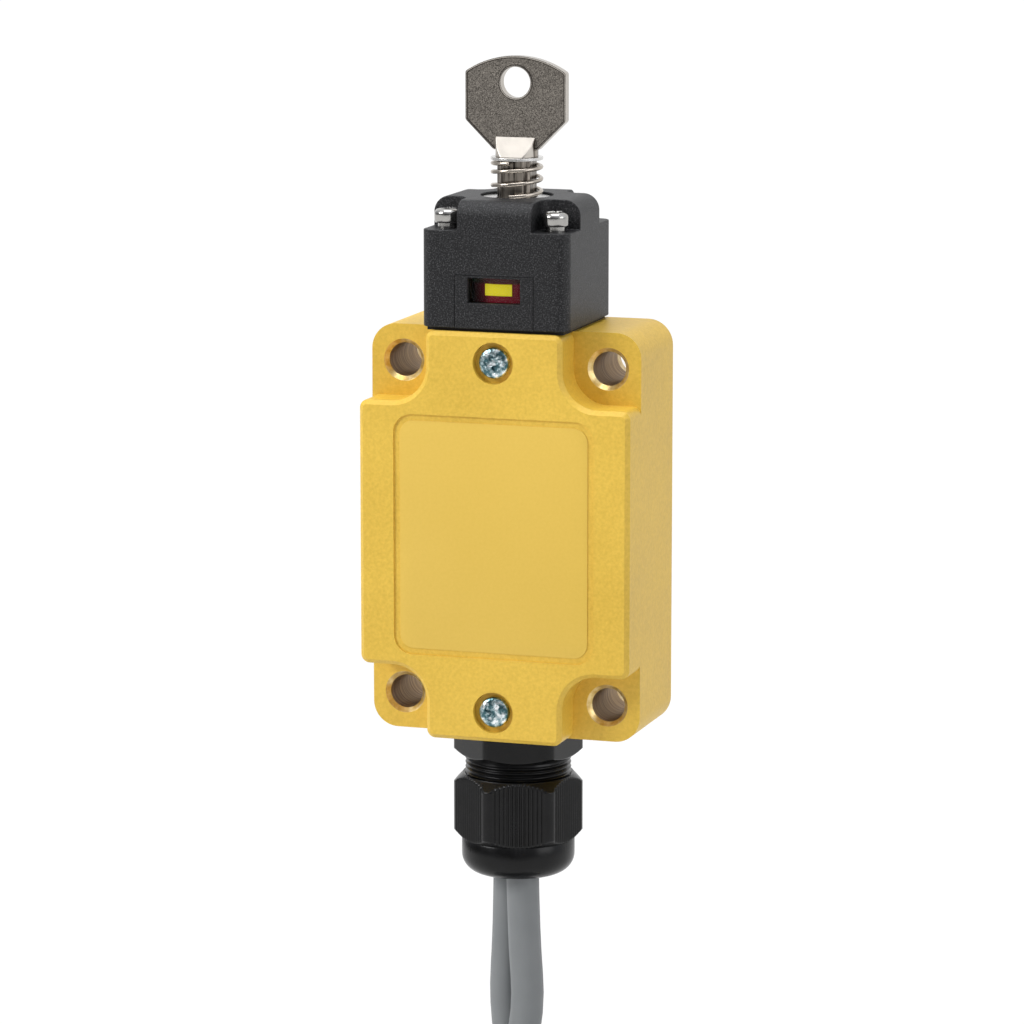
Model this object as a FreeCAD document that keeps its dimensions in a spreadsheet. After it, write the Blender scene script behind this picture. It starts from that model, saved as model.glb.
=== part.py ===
"""Key-operated safety switch: die-cast body, moulded key head, cable gland and two leads.

Millimetres. The origin is the centre of the mounting pattern on the back face,
+X to the right, +Y into the wall that the switch is screwed to, +Z up.
"""
import FreeCAD, Part
import math
import os
import re
import Sketcher

Vector = FreeCAD.Vector
doc = FreeCAD.newDocument("safety_switch")
GROUPS = []
LOOSE = []

# Driving dimensions of the whole switch, each written once.
SIZES = {
    # Die-cast body
    "body_width": 58.0, "body_height": 85.0, "body_depth": 31.5, "lug_step": 8.5,
    "body_wall": 3.0, "body_corner": 5.3, "block_corner": 1.8, "cast_edge": 0.9,
    "column_width": 29.2, "hole_shift": 0.2, "hole_edge": 7.5, "mount_hole": 3.5, "mount_rim": 0.9,
    "rear_pocket": 4.4, "rear_pocket_depth": 5.0,
    "screw_land": 11.5, "fit_gap": 0.3, "slide_gap": 0.05,
    # Front cover
    "cover_thickness": 3.0, "cover_lip": 2.2, "cover_lip_wall": 1.5, "gasket_thickness": 0.6,
    "label_side": 7.5, "label_end": 2.5, "label_recess": 0.4, "label_corner": 4.0,
    "cover_screw_edge": 6.2, "screw_head": 3.15, "screw_head_height": 1.7, "screw_sink": 4.3,
    "screw_sink_depth": 1.8, "screw_shank": 2.0, "screw_clearance": 0.7,
    # Key head
    "head_overhang": 1.1, "head_setback": 0.9, "head_height": 26.0, "head_crown": 3.4,
    "head_corner": 2.5, "head_gasket": 0.7, "key_offset": 0.25, "head_screw_side": 4.2,
    "head_screw_end": 5.05, "head_screw_shank": 1.5, "head_screw_head": 2.75, "head_screw_depth": 6.5,
    "head_screw_height": 3.0, "head_collar": 2.1, "head_collar_height": 1.1, "pocket_floor": 19.9,
    "pocket_size": 7.2, "mouth_radius": 7.5, "mouth_depth": 5.5,
    "head_side_wall": 2.6, "head_front_wall": 2.2, "drum_chamber_height": 14.5,
    "window_width": 11.2, "window_height": 5.2, "window_base": 5.2,
    "insert_width": 16.8, "insert_height": 10.9, "insert_thickness": 1.2,
    "pane_edge": 0.7, "pane_thickness": 0.8,
    "base_plate": 1.8,
    # Rotor
    "barrel_radius": 6.5, "barrel_top": 24.9, "barrel_foot": 8.8, "flange_rim": 2.7,
    "flange_thickness": 1.6, "drum_gap": 0.9, "drum_wall": 1.6, "drum_height": 9.8,
    "drum_web": 1.5, "flag_width": 5.7, "flag_height": 2.4, "flag_thickness": 0.3, "flag_rise": -0.1,
    "seat_washer": 0.6,
    # Key
    "shank_flats": 7.1, "shank_radius": 4.2, "press_travel": 3.0, "shank_foot": 5.8,
    "neck_base": 33.8, "neck_height": 4.1, "neck_radius": 4.4, "neck_flat": 3.8,
    "bow_width": 21.5, "bow_top": 54.4, "bow_thickness": 2.2,
    "bow_arch": 3.3, "bow_round": 0.8, "bow_side_base": 41.2, "bow_foot": 35.2,
    "bow_foot_width": 9.4, "ring_hole": 3.2, "ring_hole_drop": 5.4, "clip_thickness": 0.6,
    "clip_radius": 5.4, "spring_radius": 5.0, "spring_wire": 0.85,
    # Plunger and contact block
    "plunger_radius": 3.0, "plunger_gap": 0.1, "plunger_drop": 4.5, "seal_radius": 5.0,
    "seal_thickness": 1.5, "block_side_gap": 3.0, "block_top_gap": 0.6, "block_height": 34.0,
    "bed_gap": 0.5, "guide_width": 17.0, "guide_wall": 2.0, "guide_depth": 9.0,
    "carrier_width": 7.0, "carrier_depth": 6.0, "carrier_drop": 26.5, "bridge_gap": 7.5,
    "bridge_depth": 3.6, "bridge_thickness": 0.8, "opened_drop": 10.5, "closed_drop": 21.0,
    "contact_overlap": 2.0,
    "contact_thickness": 1.0, "terminal_inset": 5.0, "terminal_width": 8.0, "terminal_screw": 1.75,
    "terminal_head": 2.8, "clamp_thickness": 1.0, "block_screw": 1.5, "block_screw_head": 2.2,
    "carrier_spring": 2.4, "carrier_wire": 0.5, "block_screw_edge": 2.5, "clamp_half": 2.9,
    "block_screw_side": 4.0, "earth_boss": 3.0, "earth_boss_gap": 0.1, "earth_boss_height": 4.0,
    # Cable gland
    "gland_offset": 1.25, "gland_thread": 9.9, "gland_thread_length": 8.0, "gland_hex": 24.0,
    "gland_corner": 13.5, "gland_turn": 18.0, "flange_height": 4.3, "gland_washer": 0.8,
    "gland_washer_radius": 12.6, "nut_gap": 4.7,
    "flange_bevel": 1.9, "flange_bevel_radius": 10.7, "nut_bevel": 2.0, "nut_foot_bevel": 2.2,
    "nut_thread": 11.1, "nut_height": 13.9, "dome_height": 7.3, "dome_radius": 11.85,
    "dome_round": 4.0, "dome_mouth": 8.4, "gland_bore": 8.3,
    "cage_radius": 9.3, "cage_wall": 1.1, "cage_drop": 2.4,
    # Cables
    "cable_radius": 3.5, "front_cable_x": 1.9, "front_cable_shift": -2.9,
    "rear_cable_x": -2.75, "rear_cable_shift": 2.6, "cable_inside": 13.0,
    "coil_radius": 47.6, "coil_opening": 26.4, "coil_width": 21.2, "coil_z": -178.3,
    "front_coil_y": -36.9, "rear_coil_y": -12.4,
    "tie_width": 3.6, "tie_thickness": 1.2,
}

sheet = doc.addObject("Spreadsheet::Sheet", "Sizes")
for row, (alias, value) in enumerate(SIZES.items(), start=1):
    sheet.set(f"A{row}", alias)
    sheet.set(f"B{row}", str(value))
    sheet.setAlias(f"B{row}", alias)
doc.recompute()

WORD = re.compile(r"[a-z_]+[a-z]")

# Places that follow from the driving dimensions, as formulas in the sheet's words.
COLUMN = "(column_width / 2)"
HOLE_X = f"({COLUMN} + (body_width / 2 - {COLUMN}) / 2 + hole_shift)"
HOLE_Z = "(body_height / 2 - hole_edge)"
LUG_ROOM = f"({HOLE_X} - {COLUMN})"
SHOULDER = f"({HOLE_Z} - {LUG_ROOM})"
LUG_DEPTH = "(body_depth - lug_step)"
SEAM = "(body_depth - cover_thickness)"
COVER_SCREW_Z = "(body_height / 2 - cover_screw_edge)"
KEY_Y = "(key_offset - body_depth / 2)"
GLAND_Y = "(gland_offset - body_depth / 2)"
SCREW_REACH = f"({SEAM} + {GLAND_Y} - gland_thread - screw_clearance)"
HEAD_WIDTH = f"(2 * ({COLUMN} + head_overhang))"
HEAD_LENGTH = "(body_depth - head_setback)"
HEAD_BASE = "(body_height / 2 + head_gasket)"
HEAD_SCREW_X = f"({HEAD_WIDTH} / 2 - head_screw_side)"
HEAD_SCREW_Y = f"({HEAD_LENGTH} / 2 - head_screw_end)"
DRUM_CHAMBER = f"min({HEAD_WIDTH} / 2 - head_side_wall; {HEAD_LENGTH} / 2 - head_front_wall)"
DRUM_RADIUS = f"({DRUM_CHAMBER} - drum_gap)"
BLOCK_SIDE = "(body_width / 2 - body_wall - block_side_gap)"
BLOCK_TOP = f"({SHOULDER} - body_wall - block_top_gap)"
BLOCK_FOOT = f"({BLOCK_TOP} - block_height)"
BED_FRONT = f"(-{KEY_Y} - carrier_depth / 2 - bed_gap)"
TERMINAL_X = f"({BLOCK_SIDE} - terminal_inset)"
BRIDGE_END = f"({TERMINAL_X} - bridge_gap)"
EARTH_X = f"(-({COLUMN} - body_wall - earth_boss - earth_boss_gap))"
EARTH_Z = "(-(body_height / 2 - screw_land - earth_boss - earth_boss_gap))"


def bound(formula):
    """A formula in the sheet's words, written so that any object can read it."""
    return WORD.sub(lambda word: f"Sizes.{word[0]}" if word[0] in SIZES else word[0], str(formula))


def size(formula):
    """The present value of a formula in the sheet's words."""
    return float(sheet.evalExpression(str(formula)))


def bind(thing, name, formula):
    """Tie one property to a formula, and set its present value."""
    thing.setExpression(name, bound(formula))


def new_body(label, x="0", y="0", z="0", turn=None):
    """An empty body whose place follows the sheet. turn is an axis and an angle."""
    body = doc.addObject("PartDesign::Body", label)
    body.Label = label
    if turn:
        axis, degrees = turn
        body.Placement.Rotation = FreeCAD.Rotation(Vector(*axis), size(degrees))
    for name, formula in (("x", x), ("y", y), ("z", z)):
        bind(body, f"Placement.Base.{name}", formula)
    return body


def new_sketch(body, plane, level="0"):
    """A sketch on one of the body's own origin planes, moved off it by level."""
    origin_plane = next(o for o in body.Origin.OriginFeatures if o.Role == plane)
    sketch = body.newObject("Sketcher::SketchObject", f"{body.Name}_sketch")
    sketch.AttachmentSupport = [(origin_plane, "")]
    sketch.MapMode = "FlatFace"
    bind(sketch, "AttachmentOffset.Base.z", level)
    return sketch


def place_point(sketch, index, end, x, y):
    """Hold one end of a sketch element at a place given by two formulas."""
    for kind, formula in (("DistanceX", x), ("DistanceY", y)):
        number = sketch.addConstraint(Sketcher.Constraint(kind, -1, 1, index, end, size(formula)))
        bind(sketch, f"Constraints[{number}]", formula)


def arch_between(start, end, radius):
    """An arc that rises above two points at one height."""
    half = (start - end).Length / 2
    crown = (start + end) / 2 + Vector(0, radius - math.sqrt(radius**2 - half**2), 0)
    return Part.Arc(start, crown, end)


def draw_outline(sketch, corners, arch_radius=None):
    """A closed outline through corners given as pairs of formulas. Its last edge may be an arch."""
    points = [Vector(size(x), size(y), 0) for x, y in corners]
    first = sketch.GeometryCount
    for start, end in zip(points, points[1:]):
        sketch.addGeometry(Part.LineSegment(start, end), False)
    if arch_radius:
        sketch.addGeometry(arch_between(points[-1], points[0], size(arch_radius)), False)
    else:
        sketch.addGeometry(Part.LineSegment(points[-1], points[0]), False)
    for number, (x, y) in enumerate(corners):
        index = first + number
        before = first + (number - 1) % len(corners)
        sketch.addConstraint(Sketcher.Constraint("Coincident", before, 2, index, 1))
        place_point(sketch, index, 1, x, y)
    if arch_radius:
        last = first + len(corners) - 1
        number = sketch.addConstraint(Sketcher.Constraint("Radius", last, size(arch_radius)))
        bind(sketch, f"Constraints[{number}]", arch_radius)


def draw_rectangle(sketch, left, right, bottom, top):
    """A rectangle between four formulas."""
    draw_outline(sketch, [(left, bottom), (right, bottom), (right, top), (left, top)])


def draw_circle(sketch, radius, x="0", y="0"):
    """A circle whose radius and centre are formulas."""
    index = sketch.addGeometry(Part.Circle(Vector(size(x), size(y), 0), Vector(0, 0, 1), size(radius)))
    number = sketch.addConstraint(Sketcher.Constraint("Radius", index, size(radius)))
    bind(sketch, f"Constraints[{number}]", radius)
    place_point(sketch, index, 3, x, y)


def pad(body, sketch, length, reverse=False):
    """Fill a sketch to a length given by a formula."""
    feature = body.newObject("PartDesign::Pad", f"{body.Name}_pad")
    feature.Profile = sketch
    feature.Reversed = reverse
    bind(feature, "Length", length)
    doc.recompute()
    return feature


def pocket(body, sketch, length, reverse=False):
    """Cut a sketch to a depth given by a formula, and make sure that it cut."""
    before = body.Shape.Volume
    feature = body.newObject("PartDesign::Pocket", f"{body.Name}_pocket")
    feature.Profile = sketch
    feature.Reversed = reverse
    bind(feature, "Length", length)
    doc.recompute()
    if body.Shape.Volume > before - 1e-6:
        raise ValueError(f"a pocket in {body.Label} cuts nothing")
    return feature


def revolve(body, corners):
    """Turn an outline of (radius, height) formulas about the body's own Z axis."""
    sketch = new_sketch(body, "XZ_Plane")
    draw_outline(sketch, corners)
    feature = body.newObject("PartDesign::Revolution", f"{body.Name}_turned")
    feature.Profile = sketch
    feature.ReferenceAxis = (sketch, ["V_Axis"])
    feature.Angle = 360
    doc.recompute()
    return feature


def edges_where(shape, test):
    """Names of the straight edges whose ends pass a test of (start, end)."""
    names = []
    for number, edge in enumerate(shape.Edges, start=1):
        if isinstance(edge.Curve, Part.Line) and test(edge.Vertexes[0].Point, edge.Vertexes[-1].Point):
            names.append(f"Edge{number}")
    return names


def soften(body, kind, names, amount):
    """Fillet or chamfer named edges of the body's last feature."""
    base = body.Tip
    feature = body.newObject(f"PartDesign::{kind}", f"{body.Name}_{kind.lower()}")
    feature.Base = (base, names)
    bind(feature, "Radius" if kind == "Fillet" else "Size", amount)
    doc.recompute()
    return feature


def along(axis):
    """A test for edges that run along one axis: 0 is X, 1 is Y and 2 is Z."""
    others = [n for n in range(3) if n != axis]
    return lambda a, b: all(abs(a[n] - b[n]) < 1e-6 for n in others)


# Body casting: one zinc die casting with four lugs, open at the front.
def draw_notches(sketch):
    """Four corner rectangles in front of the lugs."""
    for sx in "-+":
        for sz in "-+":
            inner_x = f"{sx}{COLUMN}"
            inner_z = f"{sz}{SHOULDER}"
            outer_x = f"{sx}(body_width / 2 + 1)"
            outer_z = f"{sz}(body_height / 2 + 1)"
            draw_outline(sketch, [(inner_x, inner_z), (outer_x, inner_z),
                                  (outer_x, outer_z), (inner_x, outer_z)])


def mount_places():
    """The four mounting holes, as pairs of formulas."""
    return [(f"{sx}{HOLE_X}", f"{sz}{HOLE_Z}") for sx in "-+" for sz in "-+"]


def is_inner_notch(a, b):
    """True for the concave edge between two lug walls."""
    return (along(1)(a, b) and abs(abs(a.x) - size(COLUMN)) < 1e-6
            and abs(abs(a.z) - size(SHOULDER)) < 1e-6)


def is_outer_corner(a, b):
    """True for the outside corners that the lug notches leave on the raised cross."""
    at_side = abs(abs(a.x) - size("body_width / 2")) < 1e-6
    at_wall = abs(abs(a.z) - size(SHOULDER)) < 1e-6
    at_end = abs(abs(a.z) - size("body_height / 2")) < 1e-6
    at_column = abs(abs(a.x) - size(COLUMN)) < 1e-6
    return along(1)(a, b) and ((at_side and at_wall) or (at_end and at_column))


housing = new_body("housing")
outline = new_sketch(housing, "XZ_Plane")
draw_rectangle(outline, "-body_width / 2", "body_width / 2", "-body_height / 2", "body_height / 2")
pad(housing, outline, SEAM)
soften(housing, "Fillet", edges_where(housing.Tip.Shape, along(1)), "body_corner")
notches = new_sketch(housing, "XZ_Plane", LUG_DEPTH)
draw_notches(notches)
pocket(housing, notches, "body_depth", True)
soften(housing, "Fillet", edges_where(housing.Tip.Shape, is_inner_notch), f"{LUG_ROOM} - 0.01")
soften(housing, "Fillet", edges_where(housing.Tip.Shape, is_outer_corner), "block_corner")

# The hollow is a cross too: a wide middle for the contacts and a narrow column.
hollow = new_sketch(housing, "XZ_Plane", "body_wall")
hollow_side = "(body_width / 2 - body_wall)"
hollow_end = f"({SHOULDER} - body_wall)"
column_side = f"({COLUMN} - body_wall)"
column_end = "(body_height / 2 - screw_land)"
draw_outline(hollow, [
    (f"-{hollow_side}", f"-{hollow_end}"), (f"-{column_side}", f"-{hollow_end}"),
    (f"-{column_side}", f"-{column_end}"), (column_side, f"-{column_end}"),
    (column_side, f"-{hollow_end}"), (hollow_side, f"-{hollow_end}"),
    (hollow_side, hollow_end), (column_side, hollow_end), (column_side, column_end),
    (f"-{column_side}", column_end), (f"-{column_side}", hollow_end), (f"-{hollow_side}", hollow_end),
])
pocket(housing, hollow, "body_depth", True)

for radius, depth in (("mount_hole", "body_depth"), ("rear_pocket", "rear_pocket_depth")):
    holes = new_sketch(housing, "XZ_Plane")
    for x, z in mount_places():
        draw_circle(holes, radius, x, z)
    pocket(housing, holes, depth, True)


def rim_edges(shape, radius, level):
    """Names of the round edges of one radius that lie at one depth."""
    return [f"Edge{number}" for number, edge in enumerate(shape.Edges, start=1)
            if isinstance(edge.Curve, Part.Circle) and abs(edge.Curve.Radius - radius) < 1e-6
            and abs(edge.Vertexes[0].Y - level) < 1e-6]


soften(housing, "Chamfer", rim_edges(housing.Tip.Shape, size("mount_hole"), -size(LUG_DEPTH)), "mount_rim")

# Threads for the two cover screws, as plain holes of the screw's size.
screw_holes = new_sketch(housing, "XZ_Plane", SEAM)
for side in "-+":
    draw_circle(screw_holes, "screw_shank", "0", f"{side}{COVER_SCREW_Z}")
pocket(housing, screw_holes, f"{SCREW_REACH} + screw_clearance / 2")

# Top: the plunger's hole with its seal seat, and four holes for the head's screws.
for radius, depth in (("plunger_radius + 2 * slide_gap", "screw_land + 1"),
                      ("seal_radius", "seal_thickness")):
    hole = new_sketch(housing, "XY_Plane", "body_height / 2")
    draw_circle(hole, radius, "0", KEY_Y)
    pocket(housing, hole, depth)
head_holes = new_sketch(housing, "XY_Plane", "body_height / 2")
for sx in "-+":
    for sy in "-+":
        draw_circle(head_holes, "head_screw_shank", f"{sx}{HEAD_SCREW_X}", f"{KEY_Y} {sy} {HEAD_SCREW_Y}")
pocket(housing, head_holes, "head_screw_depth + 0.5")

# Bottom: the threaded entry for the gland.
entry = new_sketch(housing, "XY_Plane", "-body_height / 2")
draw_circle(entry, "gland_thread", "0", GLAND_Y)
pocket(housing, entry, "screw_land + 1", True)

# Inside: the rear wall takes the contact block's screws and carries the earth terminal's boss.
BLOCK_SCREWS = [(f"-({BLOCK_SIDE} - block_screw_side)", f"{BLOCK_TOP} - block_screw_edge"),
                (f"{BLOCK_SIDE} - block_screw_side", f"{BLOCK_FOOT} + block_screw_edge")]
holes = new_sketch(housing, "XZ_Plane", "body_wall")
for x, z in BLOCK_SCREWS:
    draw_circle(holes, "block_screw", x, z)
pocket(housing, holes, "body_wall - 0.6")
boss = new_sketch(housing, "XZ_Plane", "body_wall")
draw_circle(boss, "earth_boss", EARTH_X, EARTH_Z)
pad(housing, boss, "earth_boss_height")
hole = new_sketch(housing, "XZ_Plane", "body_wall + earth_boss_height")
draw_circle(hole, "terminal_screw", EARTH_X, EARTH_Z)
pocket(housing, hole, "earth_boss_height + 1")


# Front cover: a second casting of the same cross outline, with a lip that enters the body.
LABEL_SIDE = "(body_width / 2 - label_side)"
LABEL_END = f"({SHOULDER} - label_end)"


def cross_corners(inset="0", end="body_height / 2"):
    """The raised cross as an outline, moved inwards all round by inset."""
    side, column = f"(body_width / 2 - ({inset}))", f"({COLUMN} - ({inset}))"
    shoulder, top = f"({SHOULDER} - ({inset}))", f"({end} - ({inset}))"
    quarter = [(side, shoulder), (column, shoulder), (column, top)]
    right = [(x, f"-{z}") for x, z in reversed(quarter)] + quarter
    return right + [(f"-{x}", z) for x, z in reversed(quarter)] + [(f"-{x}", f"-{z}") for x, z in quarter]


front_cover = new_body("front_cover")
plate = new_sketch(front_cover, "XZ_Plane", SEAM)
draw_outline(plate, cross_corners())
pad(front_cover, plate, "cover_thickness")


def is_cross_shoulder(a, b):
    """True for the concave edges between the cross's arms."""
    return (along(1)(a, b) and abs(abs(a.x) - size(COLUMN)) < 1e-6 and abs(abs(a.z) - size(SHOULDER)) < 1e-6)


soften(front_cover, "Fillet", edges_where(front_cover.Tip.Shape, is_cross_shoulder), f"{LUG_ROOM} - 0.01")
soften(front_cover, "Fillet", edges_where(front_cover.Tip.Shape, is_outer_corner), "block_corner")
front_rim = [f"Edge{number}" for number, edge in enumerate(front_cover.Tip.Shape.Edges, start=1)
             if all(abs(vertex.Y + size("body_depth")) < 1e-6 for vertex in edge.Vertexes)]
soften(front_cover, "Chamfer", front_rim, "cast_edge")
lip = new_sketch(front_cover, "XZ_Plane", SEAM)
LIP_END = "(body_height / 2 - screw_land + body_wall)"
draw_outline(lip, cross_corners("body_wall + fit_gap", LIP_END))
draw_outline(lip, cross_corners("body_wall + fit_gap + cover_lip_wall", LIP_END))
pad(front_cover, lip, "cover_lip", True)
label = new_sketch(front_cover, "XZ_Plane", "body_depth")
draw_rectangle(label, f"-{LABEL_SIDE}", LABEL_SIDE, f"-{LABEL_END}", LABEL_END)
pocket(front_cover, label, "label_recess")


def is_label_corner(a, b):
    """True for the four short upright edges of the label recess."""
    return along(1)(a, b) and abs(abs(a.x) - size(LABEL_SIDE)) < 1e-6


soften(front_cover, "Fillet", edges_where(front_cover.Tip.Shape, is_label_corner), "label_corner")
for radius, depth in (("screw_shank + 0.3", "body_depth"), ("screw_sink", "screw_sink_depth")):
    sinks = new_sketch(front_cover, "XZ_Plane", "body_depth")
    for side in "-+":
        draw_circle(sinks, radius, "0", f"{side}{COVER_SCREW_Z}")
    pocket(front_cover, sinks, depth)

# Gasket: a cord of rubber that follows the lip, squeezed between body and cover.
cover_gasket = new_body("cover_gasket")
ring = new_sketch(cover_gasket, "XZ_Plane", SEAM)
draw_outline(ring, cross_corners("body_wall + fit_gap + cover_lip_wall", LIP_END))
draw_outline(ring, cross_corners("body_wall + fit_gap + cover_lip_wall + 1.2", LIP_END))
pad(cover_gasket, ring, "gasket_thickness * 2", True)


# Cross-recess screws: a low domed head on a plain shank, one solid each.
def cut_recess(body, sketch_plane, level, across, depth):
    """Two crossed slots in a screw's head."""
    for width, length in (("{a} * 0.22", "{a}"), ("{a}", "{a} * 0.22")):
        slot = new_sketch(body, sketch_plane, level)
        half_x, half_y = (f"({part.format(a=across)}) / 2" for part in (width, length))
        draw_rectangle(slot, f"-{half_x}", half_x, f"-{half_y}", half_y)
        pocket(body, slot, depth)


def make_screw(label, head, height, shank, reach, turn, place, collar=None):
    """A pan-head screw that points its head along +Z. collar is the radius and height of a washer under it."""
    body = new_body(label, *place, turn=turn)
    foot, washer = "0", []
    if collar:
        washer_radius, foot = collar
        washer = [(washer_radius, "0"), (washer_radius, foot)]
    top = f"({foot} + {height})"
    revolve(body, [("0", f"-({reach})"), (shank, f"-({reach})"), (shank, "0"), *washer, (head, foot),
                   (head, f"{foot} + {height} * 0.5"), (f"{head} * 0.6", top), ("0", top)])
    cut_recess(body, "XY_Plane", top, f"{head} * 1.1", f"{height} * 0.6")
    return body


def join_copies(label, screws):
    """Like screws in one node: a compound of separate solids."""
    group = doc.addObject("Part::Compound", label)
    group.Label = label
    group.Links = screws
    GROUPS.append(group)
    return group


FRONTWARDS = ((1, 0, 0), "90")
SINK_FLOOR = "-(body_depth - screw_sink_depth)"
join_copies("cover_screws", [
    make_screw(f"cover_screw_{name}", "screw_head", "screw_head_height", "screw_shank",
               f"cover_thickness - screw_sink_depth + {SCREW_REACH}", FRONTWARDS,
               ("0", SINK_FLOOR, f"{side}{COVER_SCREW_Z}"))
    for name, side in (("upper", "+"), ("lower", "-"))])


# Key head: a glass-filled moulding that stands on the body and carries the rotor.
ON_AXIS = ("0", KEY_Y, HEAD_BASE)


def head_screw_places():
    """The head's four screws, as pairs of formulas from the key's axis."""
    return [(f"{sx}{HEAD_SCREW_X}", f"{sy}{HEAD_SCREW_Y}") for sx in "-+" for sy in "-+"]


head_gasket = new_body("head_gasket", "0", KEY_Y, "body_height / 2")
sheet_shape = new_sketch(head_gasket, "XY_Plane")
draw_rectangle(sheet_shape, f"head_overhang - {HEAD_WIDTH} / 2", f"{HEAD_WIDTH} / 2 - head_overhang",
               f"head_overhang - {HEAD_LENGTH} / 2", f"{HEAD_LENGTH} / 2 - head_overhang")
draw_circle(sheet_shape, "seal_radius + 1")
for x, y in head_screw_places():
    draw_circle(sheet_shape, "head_screw_shank + fit_gap", x, y)
pad(head_gasket, sheet_shape, "head_gasket")

head_housing = new_body("head_housing", *ON_AXIS)
block = new_sketch(head_housing, "XY_Plane")
draw_rectangle(block, f"-{HEAD_WIDTH} / 2", f"{HEAD_WIDTH} / 2", f"-{HEAD_LENGTH} / 2", f"{HEAD_LENGTH} / 2")
pad(head_housing, block, "head_height")
soften(head_housing, "Fillet", edges_where(head_housing.Tip.Shape, along(2)), "head_corner")

POCKET_X = f"({HEAD_SCREW_X} - pocket_size / 2)"
POCKET_Y = f"({HEAD_SCREW_Y} - pocket_size / 2)"
corners = new_sketch(head_housing, "XY_Plane", "pocket_floor")
for sx in "-+":
    for sy in "-+":
        draw_outline(corners, [
            (f"{sx}{POCKET_X}", f"{sy}{POCKET_Y}"), (f"{sx}{HEAD_WIDTH}", f"{sy}{POCKET_Y}"),
            (f"{sx}{HEAD_WIDTH}", f"{sy}{HEAD_LENGTH}"), (f"{sx}{POCKET_X}", f"{sy}{HEAD_LENGTH}")])
pocket(head_housing, corners, "head_height", True)


def is_pocket_corner(a, b):
    """True for the inner upright edge of each screw pocket."""
    return (along(2)(a, b) and abs(abs(a.x) - size(POCKET_X)) < 1e-6
            and abs(abs(a.y) - size(POCKET_Y)) < 1e-6)


soften(head_housing, "Fillet", edges_where(head_housing.Tip.Shape, is_pocket_corner), "pocket_size / 2 - 0.4")


def is_crown_edge(a, b):
    """True for the head's four upper edges, between the screw pockets."""
    at_top = abs(a.z - size("head_height")) < 1e-6 and abs(b.z - a.z) < 1e-6
    at_side = abs(a.x - b.x) < 1e-6 and abs(abs(a.x) - size(f"{HEAD_WIDTH} / 2")) < 1e-6
    at_end = abs(a.y - b.y) < 1e-6 and abs(abs(a.y) - size(f"{HEAD_LENGTH} / 2")) < 1e-6
    return at_top and (at_side or at_end)


soften(head_housing, "Fillet", edges_where(head_housing.Tip.Shape, is_crown_edge), "head_crown")
for radius, height in ((DRUM_CHAMBER, "drum_chamber_height"), ("barrel_radius + slide_gap", "head_height")):
    bore = new_sketch(head_housing, "XY_Plane")
    draw_circle(bore, radius)
    pocket(head_housing, bore, height, True)
mouth = new_sketch(head_housing, "XY_Plane", "head_height")
draw_circle(mouth, "mouth_radius")
pocket(head_housing, mouth, "mouth_depth")
screw_ways = new_sketch(head_housing, "XY_Plane")
for x, y in head_screw_places():
    draw_circle(screw_ways, "head_screw_shank + fit_gap", x, y)
pocket(head_housing, screw_ways, "head_height", True)

# The front wall is stepped for the window: frame outside, pane behind it, then the opening.
HEAD_FRONT = f"{HEAD_LENGTH} / 2"
steps = [
    ("insert_width / 2", "-1", "insert_height", "insert_thickness"),
    ("window_width / 2 + pane_edge", "window_base - pane_edge", "insert_height",
     "insert_thickness + pane_thickness"),
    ("window_width / 2", "window_base", "window_base + window_height", f"{HEAD_FRONT} - {DRUM_CHAMBER} / 2"),
]
for half, low, high, depth in steps:
    step = new_sketch(head_housing, "XZ_Plane", HEAD_FRONT)
    draw_rectangle(step, f"-({half})", half, low, high)
    pocket(head_housing, step, depth)

indicator_frame = new_body("indicator_frame", *ON_AXIS)
frame_shape = new_sketch(indicator_frame, "XZ_Plane", f"{HEAD_FRONT} - insert_thickness")
draw_rectangle(frame_shape, "slide_gap - insert_width / 2", "insert_width / 2 - slide_gap", "0",
               "insert_height - slide_gap")
draw_rectangle(frame_shape, "-window_width / 2", "window_width / 2", "window_base",
               "window_base + window_height")
pad(indicator_frame, frame_shape, "insert_thickness")

indicator_lens = new_body("indicator_lens", *ON_AXIS)
pane = new_sketch(indicator_lens, "XZ_Plane", f"{HEAD_FRONT} - insert_thickness - pane_thickness")
draw_rectangle(pane, "-(window_width / 2 + pane_edge - slide_gap)",
               "window_width / 2 + pane_edge - slide_gap",
               "window_base - pane_edge + slide_gap", "insert_height - slide_gap")
pad(indicator_lens, pane, "pane_thickness")

join_copies("head_screws", [
    make_screw(f"head_screw_{number}", "head_screw_head", "head_screw_height", "head_screw_shank",
               "pocket_floor + head_gasket + head_screw_depth", None,
               (x, f"{KEY_Y} + {y}", f"{HEAD_BASE} + pocket_floor"), ("head_collar", "head_collar_height"))
    for number, (x, y) in enumerate(head_screw_places(), start=1)])

head_base_plate = new_body("head_base_plate", *ON_AXIS)
disc = new_sketch(head_base_plate, "XY_Plane")
draw_circle(disc, f"{DRUM_CHAMBER} - fit_gap")
draw_circle(disc, "plunger_radius + 2 * slide_gap")
pad(head_base_plate, disc, "base_plate")


# Rotor: the turned barrel that the key's shank slides in, with the coloured drum under its flange.
def draw_shank(sketch, clearance="0"):
    """The key bar's section: a square bar turned down at its corners."""
    flat = f"(shank_flats / 2 + {clearance})"
    edge = f"(sqrt(shank_radius^2 - (shank_flats / 2)^2) + {clearance} / 2)"
    draw_outline(sketch, [
        (flat, f"-{edge}"), (flat, edge), (edge, flat), (f"-{edge}", flat),
        (f"-{flat}", edge), (f"-{flat}", f"-{edge}"), (f"-{edge}", f"-{flat}"), (edge, f"-{flat}")])


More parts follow.
